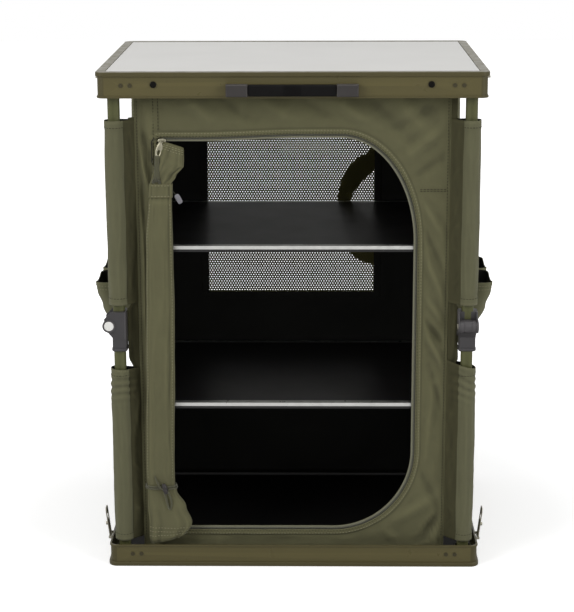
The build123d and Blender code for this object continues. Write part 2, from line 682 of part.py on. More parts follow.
for shelf, shelf_top in SHELF_TOPS.items():
    with BuildPart() as board:
        with BuildSketch(Plane.XY.offset(shelf_top - SHELF_THICKNESS)):
            Rectangle(SHELF_WIDTH, 2 * SHELF_EDGE)
        extrude(amount=SHELF_THICKNESS)
        fillet(board.edges().filter_by(Axis.Z), radius=BOARD_EDGE_ROUND)
        with Locations([(0, side * (SHELF_EDGE - TRIM_DEPTH / 2), shelf_top) for side in (-1, 1)]):
            Box(2 * SHELF_WIDTH, TRIM_DEPTH, 2 * TRIM, mode=Mode.SUBTRACT)
    save(board.part, f"{shelf}_shelf")
    with BuildPart() as trims:
        for edge, inward in ((-SHELF_EDGE, 1), (SHELF_EDGE, -1)):
            with BuildSketch(Plane.YZ):
                with BuildLine():
                    Polyline(
                        (edge - inward * TRIM, shelf_top - TRIM_HEIGHT),
                        (edge, shelf_top - TRIM_HEIGHT),
                        (edge, shelf_top - TRIM),
                        (edge + inward * TRIM_DEPTH, shelf_top - TRIM),
                        (edge + inward * TRIM_DEPTH, shelf_top),
                        (edge - inward * TRIM, shelf_top),
                        close=True,
                    )
                make_face()
            extrude(amount=SHELF_WIDTH / 2, both=True)
    save(trims.part, f"{shelf}_shelf_trims")

# Latches: a hinged hasp on each end of the base tray, and the catch that its window drops over

HASP_X = WALL_END + HASP_OUT
HASP_Z = BASE_TRAY_HEIGHT - HASP_DROP
CATCH_Z = HEIGHT - CATCH_DROP
WINDOW_Z = CATCH_Z - CLOSED_DROP
EAR_Y = HASP_WIDTH / 2 + HASP_EAR_GAP

with BuildPart() as latch_bases:
    for side in (-1, 1):
        wall = side * WALL_END
        plate_top = BASE_TRAY_HEIGHT - LATCH_PLATE_DROP
        plate_width = 2 * (EAR_Y + HASP_EAR)
        with Locations((wall + side * LATCH_PLATE / 2, HASP_Y, plate_top - LATCH_PLATE_HEIGHT / 2)):
            Box(LATCH_PLATE, plate_width, LATCH_PLATE_HEIGHT)
        for ear_y in (HASP_Y - EAR_Y - HASP_EAR, HASP_Y + EAR_Y):
            with BuildSketch(Plane(origin=(0, ear_y, 0), x_dir=(1, 0, 0), z_dir=(0, -1, 0))):
                with Locations((side * HASP_X, HASP_Z)):
                    Circle(HASP_BARREL)
                with Locations((side * (HASP_X + WALL_END) / 2, HASP_Z)):
                    Rectangle(HASP_OUT, 2 * HASP_BARREL)
            extrude(amount=-HASP_EAR)
        with Locations((side * HASP_X, HASP_Y, HASP_Z)):
            Cylinder(HASP_PIN, plate_width, rotation=(90, 0, 0))
save(latch_bases.part, "latch_bases")

# Hasp about its own pivot, upright, facing +X
with BuildPart() as hasp:
    with Locations((0, 0, HASP_LENGTH / 2)):
        Box(HASP_SHEET, HASP_WIDTH, HASP_LENGTH)
    fillet(hasp.edges().filter_by(Axis.X).group_by(Axis.Z)[-1], radius=HASP_WIDTH / 4)
    Cylinder(HASP_BARREL, HASP_WIDTH, rotation=(90, 0, 0))
    Cylinder(HASP_PIN + RUNNING_CLEARANCE, HASP_WIDTH, rotation=(90, 0, 0), mode=Mode.SUBTRACT)
    window_width = CATCH_LUG_WIDTH + 2 * WINDOW_GAP
    with Locations((0, 0, WINDOW_Z - HASP_Z)):
        Box(4 * HASP_SHEET, window_width, CATCH_LUG + 4 * WINDOW_GAP, mode=Mode.SUBTRACT)
    with BuildSketch(Plane(origin=(0, 0, KNOB_UP), z_dir=(1, 0, 0))):
        Circle(KNOB_RADIUS)
    extrude(amount=KNOB_OUT)

for name, side in (("left", -1), ("right", 1)):
    turn = 0 if side > 0 else 180
    with BuildPart() as placed:
        with Locations(Location((side * HASP_X, HASP_Y, HASP_Z), (0, side * HASP_LEAN, turn))):
            add(hasp.part)
    save(placed.part, f"{name}_hasp")

with BuildPart() as latch_catches:
    for side in (-1, 1):
        wall = side * WALL_END
        plate_top = HEIGHT - LIP_HEIGHT - LATCH_PLATE
        with Locations((wall + side * LATCH_PLATE / 2, HASP_Y, plate_top - CATCH_PLATE_HEIGHT / 2)):
            Box(LATCH_PLATE, CATCH_PLATE_WIDTH, CATCH_PLATE_HEIGHT)
        with Locations((wall + side * CATCH_LUG_OUT / 2, HASP_Y, CATCH_Z)):
            Box(CATCH_LUG_OUT, CATCH_LUG_WIDTH, CATCH_LUG)
save(latch_catches.part, "latch_catches")

# Strap handle on the front of the top tray

HANDLE_HEIGHT = HEIGHT - HANDLE_Z
CAP_MIDDLE = CAP_NEAR + CAP_LENGTH / 2
CAVITY = CAP_OUT - CAP_WALL

with BuildPart() as handle_end_caps:
    for side in (-1, 1):
        with Locations((side * CAP_MIDDLE, WALL_FRONT - CAP_OUT / 2, HANDLE_HEIGHT)):
            Box(CAP_LENGTH, CAP_OUT, CAP_HEIGHT)
    front_edges = handle_end_caps.edges().group_by(Axis.Y)[0]
    fillet(front_edges, radius=CAP_ROUND)
    for side in (-1, 1):
        cavity_x = side * (CAP_MIDDLE - CAP_WALL)
        with Locations((cavity_x, WALL_FRONT - CAVITY / 2, HANDLE_HEIGHT)):
            Box(CAP_LENGTH, CAVITY, TONGUE_HEIGHT + 2 * STRAP_GAP, mode=Mode.SUBTRACT)
save(handle_end_caps.part, "handle_end_caps")

TONGUE_BACK = WALL_FRONT - STRAP_GAP
TONGUE_END = CAP_NEAR + CAP_LENGTH - TONGUE_END_GAP
GRIP_HALF = CAP_NEAR - GRIP_END_GAP

with BuildPart() as handle_strap:
    with Locations((0, TONGUE_BACK - TONGUE / 2, HANDLE_HEIGHT)):
        Box(2 * TONGUE_END, TONGUE, TONGUE_HEIGHT)
    with BuildSketch(Plane.YZ):
        with Locations((TONGUE_BACK - GRIP_OUT / 2, HANDLE_HEIGHT)):
            RectangleRounded(GRIP_OUT, GRIP_HEIGHT, GRIP_ROUND)
    extrude(amount=GRIP_HALF, both=True)
    for rib in range(GRIP_RIBS):
        rib_x = (rib - (GRIP_RIBS - 1) / 2) * RIB_PITCH
        with Locations((rib_x, TONGUE_BACK - GRIP_OUT, HANDLE_HEIGHT)):
            Box(RIB_PITCH / 3, 2 * RIB_DEPTH, GRIP_HEIGHT, mode=Mode.SUBTRACT)
save(handle_strap.part, "handle_strap")

# Cloth body: walls from the base board to the worktop board

BODY_HEIGHT = BODY_TOP - BODY_BOTTOM
BODY_MIDDLE = (BODY_TOP + BODY_BOTTOM) / 2


def opening_shape(grow):
    """The opening in X and Z, grown outwards: quarter ellipses at the right, small rounds at the left."""
    width = OPENING_RIGHT - OPENING_LEFT + 2 * grow
    height = OPENING_TOP - OPENING_BOTTOM + 2 * grow
    with BuildSketch() as shape:
        with Locations(((OPENING_LEFT + OPENING_RIGHT) / 2, (OPENING_BOTTOM + OPENING_TOP) / 2)):
            Rectangle(width, height)
        fillet(shape.vertices().sort_by(Axis.X)[:2], radius=OPENING_LEFT_CORNER + grow)
        for corner, corner_z, inward in (
            (HIGH_CORNER, OPENING_TOP + grow, -1),
            (LOW_CORNER, OPENING_BOTTOM - grow, 1),
        ):
            across = corner[0] + grow
            along = corner[1] + grow
            right = OPENING_RIGHT + grow
            with Locations((right - across / 2, corner_z + inward * along / 2)):
                Rectangle(across, along, mode=Mode.SUBTRACT)
            with Locations((right - across, corner_z + inward * along)):
                Ellipse(across, along)
    return shape.sketch


opening = opening_shape(0)
opening_with_tape = opening_shape(TAPE_WIDTH)

with BuildPart() as front_panel:
    with BuildSketch(Plane.XZ.offset(-BODY_FRONT)):
        with Locations((0, BODY_MIDDLE)):
            Rectangle(BODY_WIDTH - 2 * CLOTH - 2 * CLOTH_GAP, BODY_HEIGHT)
        add(opening, mode=Mode.SUBTRACT)
    extrude(amount=-CLOTH)
save(front_panel.part, "front_panel")

with BuildPart() as zip_tape:
    with BuildSketch(Plane.XZ.offset(-BODY_FRONT + CLOTH_GAP)):
        add(opening_with_tape)
        add(opening, mode=Mode.SUBTRACT)
        with Locations((OPENING_LEFT, BODY_MIDDLE)):
            Rectangle(4 * TAPE_WIDTH, BODY_HEIGHT, mode=Mode.SUBTRACT)
    extrude(amount=TAPE)
save(zip_tape.part, "zip_tape")

with BuildPart() as side_walls:
    for side in (-1, 1):
        inner_x = side * (BODY_WIDTH / 2 - CLOTH)
        with Locations((side * (BODY_WIDTH - CLOTH) / 2, 0, BODY_MIDDLE)):
            Box(CLOTH, BODY_DEPTH, BODY_HEIGHT)
        for shelf_top in SHELF_TOPS.values():
            ledge_top = shelf_top - SHELF_THICKNESS - CLOTH_GAP
            with Locations((inner_x - side * LEDGE_CLOTH / 2, 0, ledge_top - LEDGE_CLOTH_HEIGHT / 2)):
                Box(LEDGE_CLOTH, LEDGE_CLOTH_LENGTH, LEDGE_CLOTH_HEIGHT)
save(side_walls.part, "side_walls")

WINDOW_WIDTH = WINDOW_RIGHT - WINDOW_LEFT
WINDOW_HEIGHT = WINDOW_TOP - WINDOW_BOTTOM
WINDOW_PLACE = ((WINDOW_LEFT + WINDOW_RIGHT) / 2, (WINDOW_TOP + WINDOW_BOTTOM) / 2)
FLAP_Y = (BODY_DEPTH - CLOTH) / 2 + FLAP_RADIUS
FLAP_MIDDLE = (FLAP_TOP + FLAP_BOTTOM) / 2

with BuildPart() as back_wall:
    with BuildSketch(Plane.XZ.offset(-BODY_DEPTH / 2)):
        with Locations((0, BODY_MIDDLE)):
            Rectangle(BODY_WIDTH - 2 * CLOTH - 2 * CLOTH_GAP, BODY_HEIGHT)
        with Locations(WINDOW_PLACE):
            Rectangle(WINDOW_WIDTH, WINDOW_HEIGHT, mode=Mode.SUBTRACT)
    extrude(amount=CLOTH)
    with BuildLine() as flap_path:
        ThreePointArc(
            (FLAP_X, FLAP_Y, FLAP_TOP),
            (FLAP_X - FLAP_BULGE, FLAP_Y, FLAP_MIDDLE),
            (FLAP_X, FLAP_Y, FLAP_BOTTOM),
        )
    with BuildSketch(Plane(origin=flap_path.line @ 0, z_dir=flap_path.line % 0)):
        Circle(FLAP_RADIUS)
    sweep(path=flap_path.line)
save(back_wall.part, "back_wall")

with BuildPart() as mesh_window:
    net_y = BODY_DEPTH / 2 - CLOTH - CLOTH_GAP
    column = WINDOW_WIDTH / NET_COLUMNS
    row = WINDOW_HEIGHT / NET_ROWS
    with BuildSketch(Plane.XZ.offset(-net_y)):
        with Locations(WINDOW_PLACE):
            Rectangle(WINDOW_WIDTH + 2 * NET_HEM, WINDOW_HEIGHT + 2 * NET_HEM)
            with GridLocations(column, row, NET_COLUMNS, NET_ROWS):
                Rectangle(column - NET_THREAD, row - NET_THREAD, mode=Mode.SUBTRACT)
    extrude(amount=NET)
save(mesh_window.part, "mesh_window")

# Rolled door, tied at the left edge of the opening: half widths, half thicknesses and shifts in X by height

ROLL_SECTIONS = (
    (OPENING_BOTTOM - ROLL_FOOT_DROP, ROLL_FOOT_HALF_WIDTH, ROLL_END_HALF_DEPTH, ROLL_END_SHIFT),
    (OPENING_BOTTOM + ROLL_FOOT_RISE, ROLL_FOOT_HALF_WIDTH, ROLL_FOOT_HALF_DEPTH, ROLL_FOOT_SHIFT),
    (LOW_TIE_BOTTOM - LOW_TIE_HEIGHT, ROLL_LOW_HALF_WIDTH, ROLL_AT_LOW_TIE, 0.0),
    (LOW_TIE_BOTTOM + 2 * LOW_TIE_HEIGHT, ROLL_LOW_HALF_WIDTH, ROLL_AT_LOW_TIE, 0.0),
    (KNEE - ROLL_BELOW_KNEE, ROLL_HALF_WIDTH, ROLL_HALF_DEPTH, 0.0),
    (KNEE + ROLL_ABOVE_KNEE, ROLL_HALF_WIDTH, ROLL_HALF_DEPTH, 0.0),
    (TIE_BOTTOM - ROLL_NECK_DROP, ROLL_HALF_WIDTH, ROLL_NECK_HALF_DEPTH, 0.0),
    (TIE_BOTTOM, ROLL_TIE_HALF_WIDTH, ROLL_AT_TIE, TIE_SHIFT),
    (TIE_BOTTOM + TIE_HEIGHT, ROLL_TIE_HALF_WIDTH, ROLL_AT_TIE, TIE_SHIFT),
    (OPENING_TOP - ROLL_FLARE_DROP, ROLL_FLARE_HALF_WIDTH, ROLL_FLAT, ROLL_FLARE_SHIFT),
    (OPENING_TOP - ROLL_HEAD_DROP, ROLL_HEAD_HALF_WIDTH, ROLL_FLAT, ROLL_HEAD_SHIFT),
    (OPENING_TOP - ROLL_TIP_DROP, ROLL_TIP_HALF_WIDTH, ROLL_FLAT, ROLL_TIP_SHIFT),
)
ROLL_BACK = BODY_FRONT - CLOTH_GAP - TIE_CLOTH - CLOTH_GAP

with BuildPart() as door_roll:
    for height, half_width, half_depth, shift in ROLL_SECTIONS:
        with BuildSketch(Plane.XY.offset(height)):
            with Locations((ROLL_X + shift, ROLL_BACK - half_depth)):
                Ellipse(half_width, half_depth)
    loft(ruled=True)
save(door_roll.part, "door_roll")

with BuildPart() as door_ties:
    with BuildSketch(Plane.XY.offset(TIE_BOTTOM)):
        with Locations((ROLL_X + TIE_SHIFT, ROLL_BACK - ROLL_AT_TIE)):
            inside = (ROLL_TIE_HALF_WIDTH + CLOTH_GAP, ROLL_AT_TIE + CLOTH_GAP)
            Ellipse(inside[0] + TIE_CLOTH, inside[1] + TIE_CLOTH)
            Ellipse(*inside, mode=Mode.SUBTRACT)
    extrude(amount=TIE_HEIGHT)
    with BuildSketch(Plane.XY.offset(LOW_TIE_BOTTOM)):
        with Locations((ROLL_X, ROLL_BACK - ROLL_AT_LOW_TIE)):
            inside = (ROLL_LOW_HALF_WIDTH + CLOTH_GAP, ROLL_AT_LOW_TIE + CLOTH_GAP)
            Ellipse(inside[0] + TIE_CLOTH, inside[1] + TIE_CLOTH)
            Ellipse(*inside, mode=Mode.SUBTRACT)
    extrude(amount=LOW_TIE_HEIGHT)
    toggle_y = ROLL_BACK - 2 * ROLL_AT_LOW_TIE - CLOTH_GAP - TIE_CLOTH / 2 - TOGGLE_RADIUS
    with Locations((ROLL_X, toggle_y, LOW_TIE_BOTTOM + LOW_TIE_HEIGHT / 2)):
        Cylinder(TOGGLE_RADIUS, TOGGLE_LENGTH, rotation=(0, 90, 0))
save(door_ties.part, "door_ties")

# Zip slider at the top left corner of the opening, and the pull that hangs from its bridge

SLIDER_BACK = BODY_FRONT - CLOTH_GAP - TAPE - CLOTH_GAP
SLIDER_FACE = SLIDER_BACK - SLIDER_OUT
SLIDER_MIDDLE = OPENING_TOP - SLIDER_SAG
EYE_Y = SLIDER_FACE - BRIDGE_OUT + BRIDGE_WALL + EYE_RADIUS
EYE_Z = SLIDER_MIDDLE - BRIDGE_SAG

with BuildPart() as zip_slider:
    with Locations((SLIDER_X, SLIDER_BACK - SLIDER_OUT / 2, SLIDER_MIDDLE)):
        Box(SLIDER_WIDTH, SLIDER_OUT, SLIDER_HEIGHT)
    fillet(zip_slider.edges().filter_by(Axis.Y), radius=SLIDER_ROUND)
    with Locations((SLIDER_X, SLIDER_FACE - BRIDGE_OUT / 2, EYE_Z)):
        Box(BRIDGE_WIDTH, BRIDGE_OUT, BRIDGE_HEIGHT)
    with Locations((SLIDER_X, EYE_Y, EYE_Z)):
        Cylinder(EYE_RADIUS, SLIDER_WIDTH, rotation=(0, 90, 0), mode=Mode.SUBTRACT)
save(zip_slider.part, "zip_slider")

PULL_FRONT = BODY_FRONT - PULL_STAND
PULL_ARM = EYE_RADIUS - RUNNING_CLEARANCE + PULL_PIN_WALL

with BuildPart() as zip_pull:
    with Locations((SLIDER_X, PULL_FRONT + PULL_SHEET / 2, EYE_Z + PULL_ARM - PULL_LENGTH / 2)):
        Box(PULL_WIDTH, PULL_SHEET, PULL_LENGTH)
    fillet(zip_pull.edges().filter_by(Axis.Y).sort_by(Axis.Z)[:2], radius=PULL_WIDTH / 4)
    with Locations((SLIDER_X, (PULL_FRONT + EYE_Y) / 2, EYE_Z)):
        Box(PULL_WIDTH, EYE_Y - PULL_FRONT, 2 * PULL_ARM)
    with Locations((SLIDER_X, EYE_Y, EYE_Z)):
        Cylinder(PULL_ARM, PULL_WIDTH, rotation=(0, 90, 0))
    notch_width = BRIDGE_WIDTH + 2 * PULL_NOTCH_GAP
    with Locations((SLIDER_X, EYE_Y, EYE_Z)):
        Box(notch_width, 2 * BRIDGE_HEIGHT, 2 * PULL_NOTCH, mode=Mode.SUBTRACT)
        Cylinder(EYE_RADIUS - RUNNING_CLEARANCE, PULL_WIDTH, rotation=(0, 90, 0))
save(zip_pull.part, "zip_pull")

# Sleeves round the leg tubes, each with a wing towards the corner of the cloth body


def sleeve(x, y, bottom, top):
    """Hollow sleeve that swells away from its hems."""
    sections = (
        (bottom, SLEEVE_END),
        (bottom + SLEEVE_EASE, SLEEVE_MIDDLE),
        (top - SLEEVE_EASE, SLEEVE_MIDDLE),
        (top, SLEEVE_END),
    )
    wing_start = (1 if x > 0 else -1) * (BODY_WIDTH / 2 + CLOTH_GAP)
    wing_y = (1 if y > 0 else -1) * (BODY_DEPTH - CLOTH) / 2
    with BuildPart() as tube:
        for height, width in sections:
            with BuildSketch(Plane.XY.offset(height)):
                with Locations((x, y)):
                    RectangleRounded(width, width, SLEEVE_ROUND)
        loft(ruled=True)
        with Locations(((wing_start + x) / 2, wing_y, (bottom + top) / 2)):
            Box(abs(x - wing_start), CLOTH, top - bottom)
        for height, width in sections:
            with BuildSketch(Plane.XY.offset(height)):
                with Locations((x, y)):
                    RectangleRounded(width - 2 * CLOTH, width - 2 * CLOTH, SLEEVE_ROUND - CLOTH)
        loft(ruled=True, mode=Mode.SUBTRACT)
    return tube.part


sleeves = []
for x, y, turn in LEGS.values():
    sleeves.append(sleeve(x, y, LOWER_SLEEVE_BOTTOM, LOWER_SLEEVE_TOP))
    sleeves.append(sleeve(x, y, UPPER_SLEEVE_BOTTOM, UPPER_SLEEVE_TOP))

with BuildPart() as leg_sleeves:
    add(sleeves)
save(leg_sleeves.part, "leg_sleeves")

# Pockets on the side walls: distance out from the wall by height

POCKET_SECTIONS = (
    (POCKET_BOTTOM, POCKET_FOOT_REACH),
    (KNEE - POCKET_BELLY_DROP, POCKET_BELLY_REACH),
    (KNEE, POCKET_REACH_AT_KNEE),
    (POCKET_MOUTH, POCKET_REACH),
)


def pocket(side, middle_y):
    """Open-topped pocket that widens towards its mouth."""
    wall_x = BODY_WIDTH / 2 + CLOTH_GAP
    with BuildPart() as bag:
        for height, reach in POCKET_SECTIONS:
            with BuildSketch(Plane.XY.offset(height)):
                with Locations((side * (wall_x + reach / 2), middle_y)):
                    Rectangle(reach, POCKET_WIDTH)
        loft(ruled=True)
        for height, reach in POCKET_SECTIONS:
            lift = CLOTH if height == POCKET_BOTTOM else 0
            with BuildSketch(Plane.XY.offset(height + lift)):
                with Locations((side * (wall_x + reach / 2), middle_y)):
                    Rectangle(reach - 2 * CLOTH, POCKET_WIDTH - 2 * CLOTH)
        loft(ruled=True, mode=Mode.SUBTRACT)
    return bag.part


pockets = [pocket(side, middle_y) for side in (-1, 1) for middle_y in POCKET_Y]

with BuildPart() as side_pockets:
    add(pockets)
save(side_pockets.part, "side_pockets")
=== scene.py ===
from math import ceil, cos, exp, hypot, pi, radians, sin, sqrt

import bpy
from mathutils import Matrix, Vector, noise


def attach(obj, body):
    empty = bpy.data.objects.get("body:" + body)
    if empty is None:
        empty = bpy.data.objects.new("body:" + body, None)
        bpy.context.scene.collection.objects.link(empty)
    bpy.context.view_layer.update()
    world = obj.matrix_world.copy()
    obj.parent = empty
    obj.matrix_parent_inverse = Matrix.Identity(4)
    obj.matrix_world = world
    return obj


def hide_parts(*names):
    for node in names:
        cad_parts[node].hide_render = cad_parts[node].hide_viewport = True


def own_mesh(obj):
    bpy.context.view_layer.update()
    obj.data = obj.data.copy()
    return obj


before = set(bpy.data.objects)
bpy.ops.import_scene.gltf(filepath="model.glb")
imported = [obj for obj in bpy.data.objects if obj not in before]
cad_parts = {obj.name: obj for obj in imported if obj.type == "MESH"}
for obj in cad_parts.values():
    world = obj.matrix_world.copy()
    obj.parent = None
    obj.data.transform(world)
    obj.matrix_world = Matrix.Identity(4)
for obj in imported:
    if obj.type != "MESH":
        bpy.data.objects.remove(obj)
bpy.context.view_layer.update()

bl_info = {
    "name": "Folding Storage Cupboard",
    "version": (1, 0, 0),
    "blender": (4, 5, 0),
    "location": "3D View > Sidebar > Cupboard",
    "description": "Dresses a folding camp cupboard: painted trays and legs, cloth body, zip, net and stage",
    "category": "Object",
}

# Metres, the opening faces -Y. Places on the frame that the cloth pieces are cut to.

CLOTH_FRONT = -0.198
CLOTH_REAR = 0.198
CLOTH_SIDE = 0.2445
CLOTH_BOTTOM = 0.0079
CLOTH_TOP = 0.7917
PANEL_EDGE = 0.2436
SHEET = 0.0012
OPENING = {"left": -0.2105, "right": 0.189, "low": 0.057, "high": 0.6945}
HIGH_CORNER = (0.115, 0.165)
LOW_CORNER = (0.125, 0.130)
LEFT_CORNER = (0.004, 0.004)
WINDOW = {"left": -0.159, "right": 0.143, "low": 0.3506, "high": 0.720}
NET_Y = 0.1958
LEG_X = 0.2745
LEG_Y = 0.207
LEGS = {"front_left": (-1, -1), "front_right": (1, -1), "rear_right": (1, 1), "rear_left": (-1, 1)}
LOWER_SLEEVE = (0.040, 0.329)
UPPER_SLEEVE = (0.433, 0.724)
POCKET_LEVELS = (
    (0.325, 0.010), (0.345, 0.040), (0.360, 0.053), (0.400, 0.070), (0.425, 0.078), (0.441, 0.080),
)
POCKET_MIDDLES = (-0.052, 0.052)
POCKET_HALF = 0.048
FOLD_ANCHOR = (0.0, 0.0, 0.008)
FOLD_KEEP = 0.1444


def colour(red, green, blue):
    """A screen colour given in 0 to 255, as linear light."""
    linear = []
    for part in (red, green, blue):
        share = part / 255
        linear.append(share / 12.92 if share <= 0.04045 else ((share + 0.055) / 1.055) ** 2.4)
    return (*linear, 1.0)


# Sizes and colours that a user may change


def colour_choice(name, description, default):
    return bpy.props.FloatVectorProperty(
        name=name, description=description, default=default, subtype="COLOR", size=4, min=0.0, max=1.0
    )


def length_choice(name, description, default):
    return bpy.props.FloatProperty(
        name=name, description=description, default=default, min=0.0, unit="LENGTH"
    )


class CupboardColours(bpy.types.PropertyGroup):
    """Colours of the cupboard's finishes"""

    tray: colour_choice("Tray paint", "Powder coat of both trays", colour(76, 70, 42))
    leg: colour_choice("Leg paint", "Powder coat of the leg tubes", colour(70, 71, 43))
    worktop: colour_choice("Worktop", "Laminate on the top board", colour(212, 211, 208))
    board: colour_choice("Boards", "Laminate of the shelves and the bottom board", colour(20, 19, 19))
    trim: colour_choice("Shelf trims", "Bright edge trims of the shelves", colour(214, 214, 210))
    cloth: colour_choice("Cloth", "Outside of the cloth body", colour(94, 92, 64))
    sleeve: colour_choice("Sleeves", "Cloth of the leg sleeves and pockets", colour(93, 92, 67))
    # Gussets: a darker copy of the sleeve cloth, painted shade for where they turn in towards the body
    gusset: colour_choice("Gussets", "Stretch cloth between the sleeves and the body", colour(66, 64, 42))
    # Lining: near black, painted shade of the closed body's dark inside
    lining: colour_choice("Lining", "Coated inside of the cloth body", colour(17, 17, 12))
    net: colour_choice("Net", "Threads of the window net", colour(92, 88, 40))
    thread: colour_choice("Thread", "Seams and top stitching", colour(122, 119, 90))
    dark_thread: colour_choice(
        "Dark thread", "Hems of the sleeves and the inner row of the opening", colour(50, 49, 33)
    )
    zip_tape: colour_choice("Zip tape", "Woven tape beside the zip's coil", colour(108, 107, 88))
    coil: colour_choice("Zip coil", "Nylon coil of the zip", colour(52, 52, 42))
    zip_metal: colour_choice("Zip metal", "Slider and its puller", colour(158, 154, 134))
    webbing: colour_choice("Webbing", "Dark webbing of the pull and the toggle strap", colour(66, 65, 42))
    knuckle: colour_choice("Knuckles", "Moulded leg knuckles", colour(56, 54, 55))
    button: colour_choice("Buttons", "Push buttons of the knuckles", colour(236, 235, 230))
    cap: colour_choice("Handle caps", "Moulded ends of the handle", colour(53, 50, 49))
    grip: colour_choice("Handle grip", "Soft grip and strap of the handle", colour(11, 10, 10))
    tab: colour_choice("Tab", "Metal tab on the upper tie of the door", colour(98, 97, 101))
    steel: colour_choice("Steel", "Knuckle pins and latches", colour(160, 156, 142))
    rivet: colour_choice("Rivets", "Painted rivets and pivot pins of the trays", colour(48, 44, 27))
    dark_steel: colour_choice("Dark steel", "Black screws and leg brackets", colour(27, 26, 25))


class CupboardSizes(bpy.types.PropertyGroup):
    """Sizes of the cupboard's fine detail"""

    weave: length_choice("Weave", "Width of two threads of the cloth", 0.0011)
    stitch: length_choice("Stitch", "Length of one stitch with its gap", 0.0050)
    net: length_choice("Net cell", "Distance between the holes of the net", 0.0046)
    net_hole: bpy.props.FloatProperty(
        name="Net hole", description="Width of a hole as a share of its cell", default=0.37, min=0.2, max=0.95
    )
    fold: length_choice("Fold height", "Height of the cloth's soft folds", 0.0040)
    coil: length_choice("Coil pitch", "Distance between the turns of the zip's coil", 0.0024)


# Finishes


class Finish:
    """One material, and the nodes that give it its detail."""

    def __init__(self, name, base, roughness=0.5, metallic=0.0, **sockets):
        self.material = bpy.data.materials.new(name)
        self.material.use_nodes = True
        self.tree = self.material.node_tree
        self.shader = self.tree.nodes["Principled BSDF"]
        self.shader.inputs["Base Color"].default_value = tuple(base)
        self.shader.inputs["Roughness"].default_value = roughness
        self.shader.inputs["Metallic"].default_value = metallic
        for socket, value in sockets.items():
            self.shader.inputs[socket.replace("_", " ")].default_value = value
        self.base = tuple(base)
        self.roughness = roughness
        self.tinted = None
        self.normal = None
        self.place = self.add("ShaderNodeTexCoord").outputs["Object"]

    def add(self, kind, settings=None, **inputs):
        """A node with its settings, and its inputs set or linked by name."""
        item = self.tree.nodes.new(kind)
        for key, value in (settings or {}).items():
            setattr(item, key, value)
        for key, value in inputs.items():
            self.feed(item.inputs[key.replace("_", " ")], value)
        return item

    def feed(self, socket, value):
        if isinstance(value, bpy.types.NodeSocket):
            self.tree.links.new(value, socket)
        else:
            socket.default_value = value

    def maths(self, operation, first, second=0.0):
        item = self.add("ShaderNodeMath", {"operation": operation})
        self.feed(item.inputs[0], first)
        self.feed(item.inputs[1], second)
        return item.outputs[0]

    def stretched(self, across, up):
        """The place on the piece, scaled by different amounts across and upwards."""
        return self.add(
            "ShaderNodeMapping", {"vector_type": "POINT"}, Vector=self.place, Scale=(across, across, up)
        ).outputs["Vector"]

    def cloud(self, scale, detail, place=None):
        return self.add(
            "ShaderNodeTexNoise", Vector=place or self.place, Scale=scale, Detail=detail, Roughness=0.55
        ).outputs["Fac"]

    def between(self, value, low, high, out_low=0.0, out_high=1.0):
        return self.add(
            "ShaderNodeMapRange",
            {"clamp": True},
            Value=value,
            From_Min=low,
            From_Max=high,
            To_Min=out_low,
            To_Max=out_high,
        ).outputs["Result"]

    def tint(self, amount, other):
        """Turns towards another colour where the amount is high."""
        mix = self.add("ShaderNodeMix", {"data_type": "RGBA"})
        self.feed(mix.inputs[0], amount)
        self.feed(mix.inputs[6], self.tinted or self.base)
        self.feed(mix.inputs[7], tuple(other))
        self.tinted = mix.outputs[2]

    def shade(self, factor):
        """The colour made lighter or darker by a share."""
        return (*(min(1.0, part * factor) for part in self.base[:3]), 1.0)

    def bump(self, height, distance, strength=1.0):
        item = self.add("ShaderNodeBump", Strength=strength, Distance=distance, Height=height)
        if self.normal is not None:
            self.feed(item.inputs["Normal"], self.normal)
        self.normal = item.outputs["Normal"]

    def patches(self, scale, detail, low, high, amount, factor):
        """Cloudy patches of a lighter or darker shade."""
        self.tint(self.between(self.cloud(scale, detail), low, high, 0.0, amount), self.shade(factor))

    def edges(self, *bands):
        """Lighter or darker tints on the raised edges or in the hollows, each as (low, high, amount, factor);
        on cloth they are painted shade and highlight of its folds.
        """
        bend = self.add("ShaderNodeNewGeometry").outputs["Pointiness"]
        for low, high, amount, factor in bands:
            self.tint(self.between(bend, low, high, 0.0, amount), self.shade(factor))

    def uneven_gloss(self, scale, detail, less, more):
        """Roughness that wanders a little round its own level."""
        low, high = self.roughness - less, self.roughness + more
        level = self.between(self.cloud(scale, detail), 0.3, 0.75, low, high)
        self.feed(self.shader.inputs["Roughness"], level)

    def done(self):
        if self.tinted is not None:
            self.feed(self.shader.inputs["Base Color"], self.tinted)
        if self.normal is not None:
            self.feed(self.shader.inputs["Normal"], self.normal)
        return self.material


def woven_finish(name, base, pitch, roughness=0.82, crease=0.00035, bloom=0.08):
    """Plain-woven coated cloth: threads both ways, soft creases, faint uneven dye, and painted shade and
    highlight of its folds.
    """
    cloth = Finish(name, base, roughness, Sheen_Weight=bloom, Sheen_Roughness=0.6, Specular_IOR_Level=0.3)
    parts = cloth.add("ShaderNodeSeparateXYZ", Vector=cloth.place)
    across = cloth.maths("ADD", parts.outputs["X"], parts.outputs["Y"])
    warp, weft = (
        cloth.maths("SINE", cloth.maths("MULTIPLY", run, 2 * pi / pitch))
        for run in (across, parts.outputs["Z"])
    )
    threads = cloth.maths("MULTIPLY", warp, weft)
    cloth.patches(9.0, 2.0, 0.35, 0.7, 0.5, 1.16)
    # Darker cloudy patches the size of small folds: painted shade of the folds
    cloth.patches(38.0, 4.0, 0.45, 0.75, 0.35, 0.8)
    cloth.tint(cloth.between(threads, -1.0, 1.0, 0.0, 0.16), cloth.shade(0.6))
    # Painted shade in the folds' hollows and painted highlight on their ridges, taken from the mesh's bend
    cloth.edges((0.498, 0.472, 0.55, 0.5), (0.502, 0.528, 0.40, 1.45))
    cloth.bump(cloth.cloud(26.0, 3.0), crease * 3, 0.45)
    cloth.bump(cloth.cloud(95.0, 4.0), crease, 0.5)
    cloth.bump(threads, 0.00014, 0.5)
    return cloth.done()


